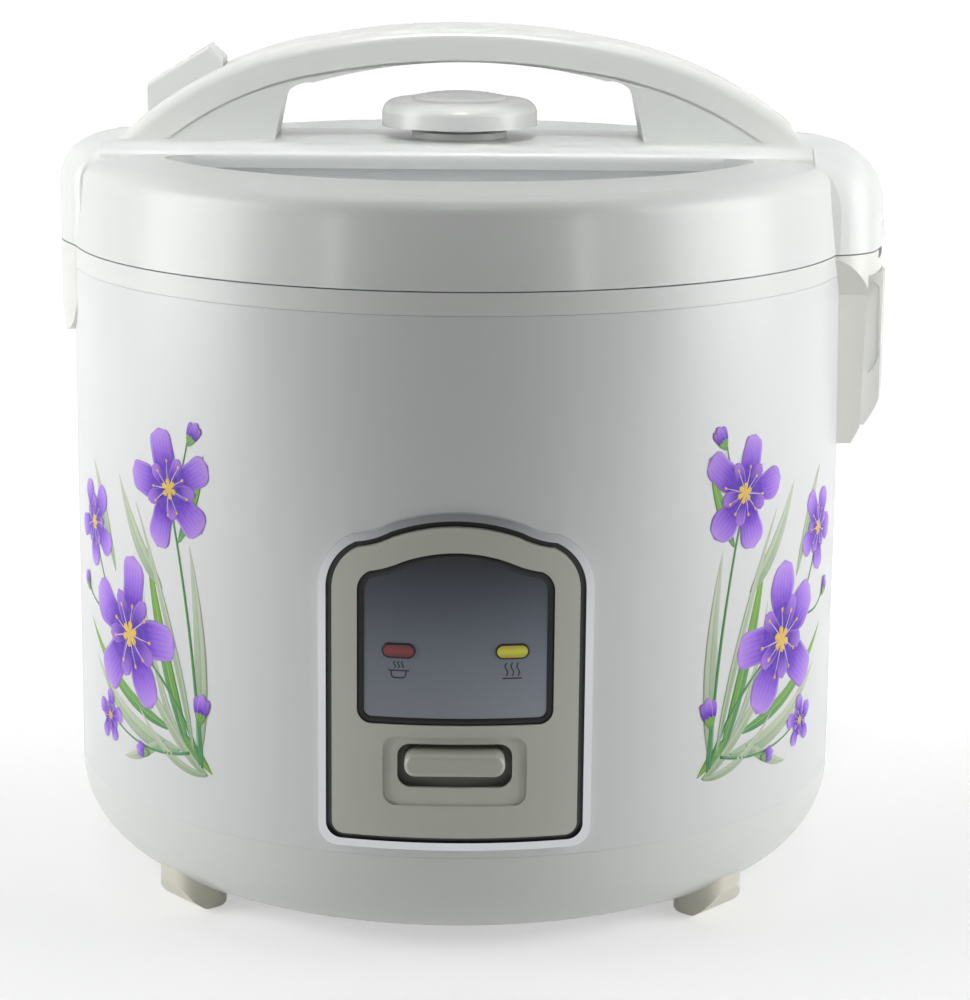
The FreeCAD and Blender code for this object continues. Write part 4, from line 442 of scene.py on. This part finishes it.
def surface(name, patches, look, body, solid=False, skin=0.0):
    """Makes one piece from patches in millimetres, closes its poles and lets it ride. Solid
    is a closed form, and a skin gives an open sheet its thickness inwards."""
    points, quads, uv = gather(patches)
    mesh = bpy.data.meshes.new(name)
    mesh.from_pydata((points * MM).tolist(), [], quads.tolist())
    layer = mesh.uv_layers.new(name="along")
    corners = np.empty(len(mesh.loops), dtype=np.int32)
    mesh.loops.foreach_get("vertex_index", corners)
    layer.data.foreach_set("uv", uv[corners].astype(np.float32).ravel())
    work = bmesh.new()
    work.from_mesh(mesh)
    bmesh.ops.remove_doubles(work, verts=work.verts, dist=2e-6)
    bmesh.ops.dissolve_degenerate(work, edges=work.edges, dist=1e-6)
    if solid:
        bmesh.ops.recalc_face_normals(work, faces=work.faces)
    work.to_mesh(mesh)
    work.free()
    mesh.polygons.foreach_set("use_smooth", [True] * len(mesh.polygons))
    piece = bpy.data.objects.new(name, mesh)
    bpy.context.scene.collection.objects.link(piece)
    mesh.materials.append(finishes[look].material)
    if skin:
        wall = piece.modifiers.new("wall", "SOLIDIFY")
        wall.thickness = skin * MM
        wall.offset = -1.0
    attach(piece, body)


def on_face(across, height, radius):
    """A flat drawing on a round face: x and z stay, y = -sqrt(radius^2 - x^2)."""
    return np.stack([across, -np.sqrt(radius ** 2 - across ** 2), height], axis=-1)


def round_wall(arc, height, lift):
    """A drawing wrapped on the wall: turn = arc / wall, x = r sin(turn), y = -r cos(turn)."""
    turn = arc / WALL
    radius = WALL + lift
    return np.stack([radius * np.sin(turn), -radius * np.cos(turn), height], axis=-1)


# ---------------------------------------------------------------- shutter and hinge pad
def shutter(half_width, bottom, top):
    """The lever's dust shutter behind its slot, with x and z across it: radius = reach
    - lean (z - pin height), so that it clears the gap plate while the lever swings."""
    reach, lean, pin_height = 129.6, 0.07, 33.0
    x, z = np.meshgrid(np.linspace(-half_width, half_width, 25), np.linspace(bottom, top, 9),
                       indexing="ij")
    points = on_face(x, z, reach - lean * (z - pin_height))
    return patch_of(points, (x + half_width) / (2 * half_width), (z - bottom) / (top - bottom))


# The lid's hinge nose: its reach from the pot's axis, the radius of its face in plan, and
# the height of the pad's middle.
NOSE_REACH, NOSE_ROUND, PAD_HEIGHT = 143.3, 79.0, 217.65


def hinge_pad(half_length, half_height, proud, sunk):
    """The soft strip over the hinge on the lid's nose, with s and t from -1 to 1: height
    = proud sqrt(1 - |s|^6) sqrt(1 - t^4) - sunk above the nose's face, which is an arc in
    plan: x = reach - round + sqrt(round^2 - y^2) + height."""
    quarter = math.pi / 2
    s, t = np.meshgrid(np.sin(np.linspace(-quarter, quarter, 61)),
                       np.sin(np.linspace(-quarter, quarter, 21)), indexing="ij")
    crown = np.maximum(0.0, 1.0 - s ** 6) * np.maximum(0.0, 1.0 - t ** 4)
    height = proud * np.sqrt(crown) - sunk
    y = half_length * s
    x = NOSE_REACH - NOSE_ROUND + np.sqrt(NOSE_ROUND ** 2 - y ** 2) + height
    points = np.stack([x, y, PAD_HEIGHT + half_height * t], axis=-1)
    return patch_of(points, s / 2 + 0.5, t / 2 + 0.5)


# The shutter wears a dark grey that is painted shade of the recess behind the knob.
surface("lever_shutter", [shutter(21.0, 56.5, 78.5)], "shutter", "cook_lever",
        skin=0.8)
surface("hinge_pad", [hinge_pad(26.0, 4.1, 0.78, 0.12)], "lid", "lid", skin=0.2)


# ---------------------------------------------------------------- label edging and symbols
def arc_points(start, end, radius, bend, count=14):
    """Points of the arc from start to end: centre = middle + bend sqrt(r^2 - h^2) times
    the left normal, h half the chord. Bend 1 bulges outwards, -1 inwards."""
    start, end = np.array(start), np.array(end)
    chord = end - start
    length = np.hypot(*chord)
    left = np.array([-chord[1], chord[0]]) / length
    centre = (start + end) / 2 + bend * left * math.sqrt(radius ** 2 - length ** 2 / 4)
    first = math.atan2(*(start - centre)[::-1])
    sweep = bend * 2 * math.asin(length / 2 / radius)
    angle = first + sweep * np.linspace(0.0, 1.0, count)
    return centre + radius * np.stack([np.cos(angle), np.sin(angle)], axis=-1)


def label_path():
    """The label's outline, anticlockwise: straight sides, quarter circles at its foot, and
    an ogee top from a crown arc, two hollow arcs and two shoulder arcs."""
    low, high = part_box("label_plate")
    half, foot, top = high.x / MM, low.z / MM, high.z / MM
    foot_corner, corner, crown, hollow = 4.5, 6.9, 44.9, 37.1
    # A hair over the foot corner's radius, so that arc_points has no root below zero.
    quarter = foot_corner * 1.0001
    # The sides end at the shoulder, and the crown arc ends at its edge and the brow.
    shoulder, edge = foot + 42.0, 16.52
    brow = top - crown + math.sqrt(crown ** 2 - edge ** 2)
    # A shoulder arc ends where its cosine is 0.44 and its sine is 0.898.
    turn_x, turn_z = half - corner + 0.44 * corner, shoulder + 0.898 * corner
    flat = np.linspace(foot_corner - half, half - foot_corner, 30)
    path = np.concatenate([
        np.stack([flat, np.full(30, foot)], axis=-1),
        arc_points((half - foot_corner, foot), (half, foot + foot_corner), quarter, 1),
        arc_points((half, shoulder), (turn_x, turn_z), corner, 1),
        arc_points((turn_x, turn_z), (edge, brow), hollow, -1),
        arc_points((edge, brow), (-edge, brow), crown, 1, 30),
        arc_points((-edge, brow), (-turn_x, turn_z), hollow, -1),
        arc_points((-turn_x, turn_z), (-half, shoulder), corner, 1),
        arc_points((-half, foot + foot_corner), (-half + foot_corner, foot), quarter, 1),
    ])
    keep = np.hypot(*(path - np.roll(path, 1, axis=0)).T) > 0.05
    return path[keep]


def oval_path(centre_x, centre_z, half_length, half_height, count=20):
    """A slot with round ends: each end is a half circle of the half height."""
    reach = half_length - half_height
    turn = np.linspace(-math.pi / 2, math.pi / 2, count)
    right = np.stack([centre_x + reach + half_height * np.cos(turn),
                      centre_z + half_height * np.sin(turn)], axis=-1)
    left = np.stack([centre_x - reach - half_height * np.cos(turn),
                     centre_z - half_height * np.sin(turn)], axis=-1)
    return np.concatenate([right, left])


def framing(path, section):
    """A section carried along a closed path on the label: point = path + inward normal
    times the section's first number, lifted off the film by its second."""
    ahead = np.roll(path, -1, axis=0) - np.roll(path, 1, axis=0)
    ahead = ahead / np.hypot(*ahead.T)[:, None]
    inward = np.stack([-ahead[:, 1], ahead[:, 0]], axis=-1)
    section = np.array(section)
    flat = path[:, None, :] + inward[:, None, :] * section[None, :, :1]
    lift = np.broadcast_to(section[None, :, 1], flat.shape[:2])
    points = on_face(flat[..., 0], flat[..., 1], FILM + lift)
    points = np.concatenate([points, points[:1]])
    rows, columns = points.shape[:2]
    return patch_of(points, np.linspace(0.0, 1.0, rows)[:, None],
                    np.linspace(0.0, 1.0, columns)[None, :], closed=True)


# The lift of an edging's foot, which is sunk a little into the film.
FOOT = -0.08


def edge_section(width, height):
    """A low strip with rounded edges and a faint crown, from one foot to the other."""
    soft = height * 0.6
    return [(0.0, FOOT), (0.0, height - soft), (soft, height), (width * 0.5, height * 1.05),
            (width - soft, height), (width, height - soft), (width, FOOT)]


RIM_SECTION = [(0.05, FOOT), (0.05, 0.30), (-0.12, 0.42), (-0.32, 0.42), (-0.5, 0.28),
               (-0.55, FOOT)]
surface("label_edging", [framing(label_path(), edge_section(2.2, 0.22))],
        "edging", "body", solid=True)
surface("lamp_rims",
        [framing(oval_path(side * LENS_X, LENS_HEIGHT, LENS_HALF_LENGTH, LENS_HALF_HEIGHT),
                 RIM_SECTION) for side in (-1, 1)],
        "edging", "body", solid=True)


# How far ink stands over the film, and as far in it.
INK = 0.05


def ink_line(points, width):
    """A raised ink stroke: a flat section of the given width along a line on the label,
    with round ends: half width = width / 2 sqrt(1 - e^2), e from -1 at the tip to 0."""
    points = np.array(points, dtype=float)
    step = np.gradient(points, axis=0)
    step = step / np.maximum(np.hypot(*step.T), 1e-9)[:, None]
    normal = np.stack([-step[:, 1], step[:, 0]], axis=-1)
    ends = np.array([-1.0, -0.8, -0.45, 0.0])
    start = points[0] + step[0] * ends[:, None] * width / 2
    finish = points[-1] - step[-1] * ends[::-1, None] * width / 2
    line = np.concatenate([start[:-1], points, finish[1:]])
    side = np.concatenate([np.repeat(normal[:1], 3, axis=0), normal,
                           np.repeat(normal[-1:], 3, axis=0)])
    taper = np.sqrt(np.maximum(0.0, 1.0 - ends[:-1] ** 2))
    half = width / 2 * np.concatenate([taper, np.ones(len(points)), taper[::-1]])
    across = np.array([-1.0, 1.0, 1.0, -1.0])
    lift = np.array([-INK, -INK, INK, INK])
    flat = line[:, None, :] + side[:, None, :] * (half[:, None] * across[None, :])[..., None]
    solid = on_face(flat[..., 0], flat[..., 1], FILM + np.broadcast_to(lift, flat.shape[:2]))
    return patch_of(solid, np.zeros((len(line), 1)), np.zeros((1, 4)), closed=True)


def wave(x, z, height, sway, count=13):
    """An upright wave: x = x0 + sway sin(2 pi t), z = z0 + height t."""
    t = np.linspace(0.0, 1.0, count)
    return np.stack([x + sway * np.sin(2 * math.pi * t), z + height * t], axis=-1)


def bowl(x, z, half, depth, count=17):
    """A pot's side view: x = x0 + half sign(c) |c|^0.45, z = z0 - depth |s|^0.6."""
    t = np.linspace(0.0, math.pi, count)
    c, s = np.cos(t), np.sin(t)
    return np.stack([x + half * np.sign(c) * np.abs(c) ** 0.45,
                     z - depth * np.abs(s) ** 0.6], axis=-1)


def level(x, z, half):
    """A straight line from x0 - half to x0 + half at one height."""
    return [(x - half, z), (x + half, z)]


SYMBOL_HEIGHT = LENS_HEIGHT - 6.3
LINE, THIN_LINE = 0.42, 0.36
cook_strokes = [ink_line(bowl(-LENS_X, SYMBOL_HEIGHT, 2.3, 2.3), LINE),
                ink_line(level(-LENS_X, SYMBOL_HEIGHT, 3.1), LINE)]
cook_strokes += [ink_line(wave(-LENS_X + shift, SYMBOL_HEIGHT + 0.9, 1.9, 0.28), THIN_LINE)
                 for shift in (-1.2, 0.0, 1.2)]
warm_strokes = [ink_line(level(LENS_X, SYMBOL_HEIGHT - 2.2, 2.8), LINE)]
warm_strokes += [ink_line(wave(LENS_X + shift, SYMBOL_HEIGHT - 1.3, 3.9, 0.4), LINE)
                 for shift in (-1.8, 0.0, 1.8)]
surface("cook_symbol", cook_strokes, "symbol", "body", solid=True)
surface("warm_symbol", warm_strokes, "symbol", "body", solid=True)


# ---------------------------------------------------------------- printed flower sprays
def printed(arc, height, lift, side, u, v):
    """A flat form wrapped on the wall, with u along it and v from -1 to 1 across it. Side -1
    gives it its left hand form and turns its quads to face outwards."""
    points, quads, uv = patch_of(round_wall(side * arc, height, lift), u, v / 2 + 0.5)
    return points, quads[:, ::side], uv


def shares(rows, columns):
    """A grid of u from 0 to 1 and v from -1 to 1."""
    return np.meshgrid(np.linspace(0.0, 1.0, rows), np.linspace(-1.0, 1.0, columns),
                       indexing="ij")


def petal(place, angle, length, width, curl, phase, lift, side, rows=15, columns=11):
    """A petal: half width = width sqrt(u) sqrt(1 - u^5) (1 + 0.07 sin(11 u + phase)),
    along = length u, across = half width v + curl u^2, turned by its angle about its root."""
    u, v = shares(rows, columns)
    half = width * np.sqrt(u) * np.sqrt(1.0 - u ** 5) * (1.0 + 0.07 * np.sin(11 * u + phase))
    along, across = length * u, half * v + curl * u ** 2
    c, s = math.cos(math.radians(angle)), math.sin(math.radians(angle))
    arc = place[0] + along * c - across * s
    height = place[1] + along * s + across * c
    return printed(arc, height, lift, side, u, v)


def ribbon(start, bend, end, half, t, v, lift, side):
    """A strip along a curve: rib = (1-t)^2 start + 2 t (1-t) bend + t^2 end, and point = rib
    + half width v times the left normal of the curve's derivative."""
    a, b, c = (np.array(point, dtype=float) for point in (start, bend, end))
    at = t[..., None]
    rib = (1 - at) ** 2 * a + 2 * at * (1 - at) * b + at ** 2 * c
    run = 2 * (1 - at) * (b - a) + 2 * at * (c - b)
    run = run / np.hypot(run[..., 0], run[..., 1])[..., None]
    arc = rib[..., 0] - run[..., 1] * half * v
    height = rib[..., 1] + run[..., 0] * half * v
    return printed(arc, height, lift, side, t, v)


def blade(start, bend, end, width, lift, side):
    """A leaf: a strip whose half width = width sin(pi t^0.75)^0.8."""
    t, v = shares(26, 7)
    half = width * np.maximum(np.sin(math.pi * t ** 0.75), 0.0) ** 0.8
    return ribbon(start, bend, end, half, t, v, lift, side)


def stalk(start, bend, end, width, lift, side, rows=22):
    """A stem: a strip whose half width = width (1 - 0.45 t)."""
    t, v = shares(rows, 3)
    return ribbon(start, bend, end, width * (1 - 0.45 * t), t, v, lift, side)


# Each blossom: arc from the panel's middle, height, reach of its petals, first angle.
BLOSSOMS = [
    (123.0, 93.0, 27.0, 98.0),
    (100.0, 145.0, 20.5, 78.0),
    (150.0, 125.0, 16.0, 60.0),
    (138.0, 62.0, 9.5, 20.0),
]
# Each bud: arc, height, length, angle.
BUDS = [
    (87.5, 70.0, 11.0, 100.0),
    (112.0, 55.0, 8.0, 8.0),
    (91.0, 160.0, 9.0, 118.0),
    (157.0, 100.0, 8.0, 50.0),
]
# Each leaf: start, bend and end as arc and height, half width, ink.
LEAVES = [
    ((88.0, 58.0), (84.0, 90.0), (91.0, 128.0), 2.7, "sage"),
    ((92.0, 60.0), (106.0, 92.0), (112.0, 126.0), 2.6, "green"),
    ((104.0, 112.0), (118.0, 122.0), (128.5, 145.0), 2.7, "sage"),
    ((96.0, 60.0), (122.0, 58.0), (150.0, 80.0), 3.0, "sage"),
    ((100.0, 66.0), (130.0, 70.0), (156.0, 92.0), 2.3, "green"),
    ((95.0, 66.0), (88.0, 60.0), (82.0, 54.6), 1.9, "green"),
    ((96.0, 128.0), (88.0, 142.0), (84.5, 158.0), 2.0, "green"),
    ((132.0, 112.0), (142.0, 136.0), (150.0, 146.0), 2.0, "sage"),
    ((104.0, 62.0), (118.0, 52.0), (128.0, 51.0), 1.8, "sage"),
    ((86.0, 55.0), (106.0, 66.0), (114.0, 108.0), 1.5, "sage"),
    ((84.0, 54.0), (96.0, 58.0), (138.0, 108.0), 1.7, "sage"),
    ((84.0, 54.0), (100.0, 52.0), (118.0, 70.0), 1.4, "sage"),
    ((90.0, 60.0), (98.0, 100.0), (118.0, 138.0), 1.5, "sage"),
]
# Each stem: start, bend and end, half width.
STALKS = [
    ((87.0, 57.0), (96.0, 80.0), (121.0, 92.0), 0.75),
    ((87.0, 57.0), (90.0, 104.0), (100.0, 142.0), 0.70),
    ((116.0, 90.0), (138.0, 96.0), (148.0, 120.0), 0.60),
    ((92.0, 60.0), (112.0, 54.0), (132.0, 61.0), 0.55),
    ((86.5, 56.0), (86.0, 62.0), (87.5, 71.0), 0.50),
    ((99.0, 138.0), (94.0, 150.0), (91.5, 161.0), 0.45),
    ((140.0, 98.0), (150.0, 96.0), (157.0, 101.0), 0.45),
]
# Lifts of the prints off the wall: first leaf, stems, first petal.
LEAF_LIFT, STEM_LIFT, PETAL_LIFT = 0.03, 0.075, 0.085
INK_THICKNESS = 0.02


def spray(side, hand, seed):
    """One spray: leaves at the bottom, then stems, petals, threads and pollen, each print
    a few thousandths of a millimetre over the last."""
    chance = np.random.default_rng(seed)
    inks = {ink: [] for ink in ("sage", "green", "stem", "violet", "deep", "pollen", "thread")}
    for index, (start, bend, end, width, ink) in enumerate(LEAVES):
        inks[ink].append(blade(start, bend, end, width, LEAF_LIFT + 0.004 * index, side))
    for start, bend, end, width in STALKS:
        inks["stem"].append(stalk(start, bend, end, width, STEM_LIFT, side))
    lift = PETAL_LIFT
    for arc, height, reach, first in BLOSSOMS:
        heart = (arc, height)
        for index in range(5):
            lift += 0.004
            angle = first + 72.0 * index + chance.uniform(-7.0, 7.0)
            inks["violet"].append(petal(heart, angle, reach * chance.uniform(0.9, 1.04),
                                        reach * chance.uniform(0.31, 0.37),
                                        reach * chance.uniform(-0.08, 0.08),
                                        chance.uniform(0.0, 6.0), lift, side))
        for index in range(5):
            lift += 0.003
            angle = first + 36.0 + 72.0 * index + chance.uniform(-6.0, 6.0)
            inks["deep"].append(petal(heart, angle, reach * chance.uniform(0.50, 0.60),
                                      reach * 0.15, 0.0, chance.uniform(0.0, 6.0), lift, side,
                                      11, 7))
        lift += 0.004
        for index in range(9):
            angle = first + 40.0 * index + chance.uniform(-8.0, 8.0)
            length = reach * chance.uniform(0.30, 0.42)
            tip = (arc + length * math.cos(math.radians(angle)),
                   height + length * math.sin(math.radians(angle)))
            middle = ((arc + tip[0]) / 2 + 0.6, (height + tip[1]) / 2)
            inks["thread"].append(stalk(heart, middle, tip, 0.011 * reach, lift, side, 6))
            inks["pollen"].append(petal(tip, angle, 0.075 * reach, 0.03 * reach, 0.0, 0.0,
                                        lift + 0.004, side, 6, 5))
        for index in range(6):
            inks["pollen"].append(petal(heart, first + 60.0 * index, 0.17 * reach,
                                        0.06 * reach, 0.0, 0.0, lift + 0.006, side, 8, 5))
    for arc, height, length, angle in BUDS:
        root = (arc, height)
        for turn, share, ink in ((-16.0, 0.9, "deep"), (15.0, 0.92, "deep"),
                                 (0.0, 1.0, "violet")):
            lift += 0.003
            inks[ink].append(petal(root, angle + turn, length * share, length * 0.20,
                                   0.0, 2.0, lift, side, 11, 7))
        for turn in (-24.0, 0.0, 24.0):
            lift += 0.003
            inks["green"].append(petal(root, angle + turn, length * 0.42,
                                       length * 0.10, 0.0, 0.0, lift, side, 9, 5))
    for ink, patches in inks.items():
        surface("%s_spray_%s" % (hand, ink), patches, ink, "body",
                skin=INK_THICKNESS)


spray(-1, "left", 23)
spray(1, "right", 11)


# ---------------------------------------------------------------- floor, light, camera
def pale_floor():
    """The floor's material: matt, darker in front so that it throws little light on the
    panel, and with a glow of its own where it is seen, weaker near the object so that the
    shadow stays: glow = fade share + 0.9 (share - front)."""
    material = bpy.data.materials.new("pale_floor")
    material.use_nodes = True
    ground = Wiring(material.node_tree)
    ground.tree.nodes.clear()
    place = ground.node("ShaderNodeTexCoord").outputs["Object"]
    distance = ground.node("ShaderNodeVectorMath", operation="LENGTH")
    ground.join(place, distance.inputs[0])
    fade = ground.ranged(distance.outputs["Value"], (0.22, 1.4), (0.42, 1.0), "SMOOTHSTEP")
    front = ground.ranged(ground.axes(place)[1], (-0.85, -0.38), (0.12, 1.0), "SMOOTHSTEP")
    matt = ground.node("ShaderNodeBsdfDiffuse")
    ground.join(ground.sums("MULTIPLY", front, 0.88), matt.inputs["Color"])
    straight, mirrored = ground.seen_rays()
    share = ground.sums("MAXIMUM", straight, front)
    lack = ground.sums("MULTIPLY", ground.sums("SUBTRACT", share, front), 0.9)
    glow = ground.sums("ADD", ground.sums("MULTIPLY", fade, share), lack)
    lit = ground.node("ShaderNodeAddShader")
    ground.join(matt.outputs[0], lit.inputs[0])
    ground.join(ground.white("ShaderNodeEmission", glow), lit.inputs[1])
    out = ground.node("ShaderNodeOutputMaterial")
    ground.join(ground.mixed(mirrored, matt.outputs[0], lit.outputs[0]), out.inputs["Surface"])
    return material


FLOOR_HALF = 6.0
floor_mesh = bpy.data.meshes.new("floor")
floor_mesh.from_pydata([(x * FLOOR_HALF, y * FLOOR_HALF, 0.0)
                        for x, y in ((-1, -1), (1, -1), (1, 1), (-1, 1))],
                       [], [(0, 1, 2, 3)])
floor_mesh.materials.append(pale_floor())
floor = bpy.data.objects.new("floor", floor_mesh)
bpy.context.scene.collection.objects.link(floor)


def soft_light(name, place, target, width, height, power, spread=180.0):
    """A rectangular soft light that faces a point, its light held to a spread in degrees."""
    data = bpy.data.lights.new(name, "AREA")
    data.shape = "RECTANGLE"
    data.size = width
    data.size_y = height
    data.energy = power
    data.spread = math.radians(spread)
    lamp = bpy.data.objects.new(name, data)
    lamp.location = place
    aim = Vector(target) - Vector(place)
    lamp.rotation_euler = aim.to_track_quat("-Z", "Y").to_euler()
    bpy.context.scene.collection.objects.link(lamp)


HANDS = (("left", -1), ("right", 1))
for hand, side in HANDS:
    soft_light(hand + "_softbox", (side * 1.33, -0.22, 0.34), (0, 0, 0.12), 0.9, 1.1, 12.2)
soft_light("top_softbox", (0.0, 0.20, 1.5), (0, 0, 0.2), 1.2, 0.9, 5.0)
soft_light("handle_softbox", (0.0, -0.62, 0.92), (0, 0.03, 0.30), 0.7, 0.08, 0.27, 24.0)
for hand, side in HANDS:
    soft_light(hand + "_beam", (side * 0.75, -1.05, 0.26), (side * 0.145, -0.02, 0.125),
               0.12, 0.30, 0.045, 18.0)

# The studio: a weak even fill on the object, white where it is seen, and for mirrored rays
# darker in front than behind.
world = bpy.data.worlds.new("studio")
bpy.context.scene.world = world
world.use_nodes = True
studio = Wiring(world.node_tree)
studio.tree.nodes.clear()
direction = studio.node("ShaderNodeTexCoord").outputs["Generated"]
behind = studio.ranged(studio.axes(direction)[1], (-0.95, -0.10), (0.12, 0.9), "SMOOTHSTEP")
straight, mirrored = studio.seen_rays()
fill, around, seen = (studio.white("ShaderNodeBackground", strength)
                      for strength in (0.07, behind, 1.0))
studio_out = studio.node("ShaderNodeOutputWorld")
studio.join(studio.mixed(straight, studio.mixed(mirrored, fill, around), seen),
            studio_out.inputs["Surface"])

camera_data = bpy.data.cameras.new("camera")
camera_data.sensor_width = 36.0
camera_data.lens = 106.77
camera_data.shift_x = 0.0283
camera_data.shift_y = 0.0012
camera_data.clip_start = 0.05
camera = bpy.data.objects.new("camera", camera_data)
eye, aim = Vector((0.0, -1.0043, 0.3437)), Vector((0.0, 0.0, 0.121))
lean = math.radians(0.44)
camera.matrix_world = (Matrix.Translation(eye)
                       @ (aim - eye).to_track_quat("-Z", "Y").to_matrix().to_4x4()
                       @ Matrix.Rotation(lean, 4, "Z"))
bpy.context.scene.collection.objects.link(camera)
bpy.context.scene.camera = camera
bpy.context.scene.view_settings.view_transform = "Standard"
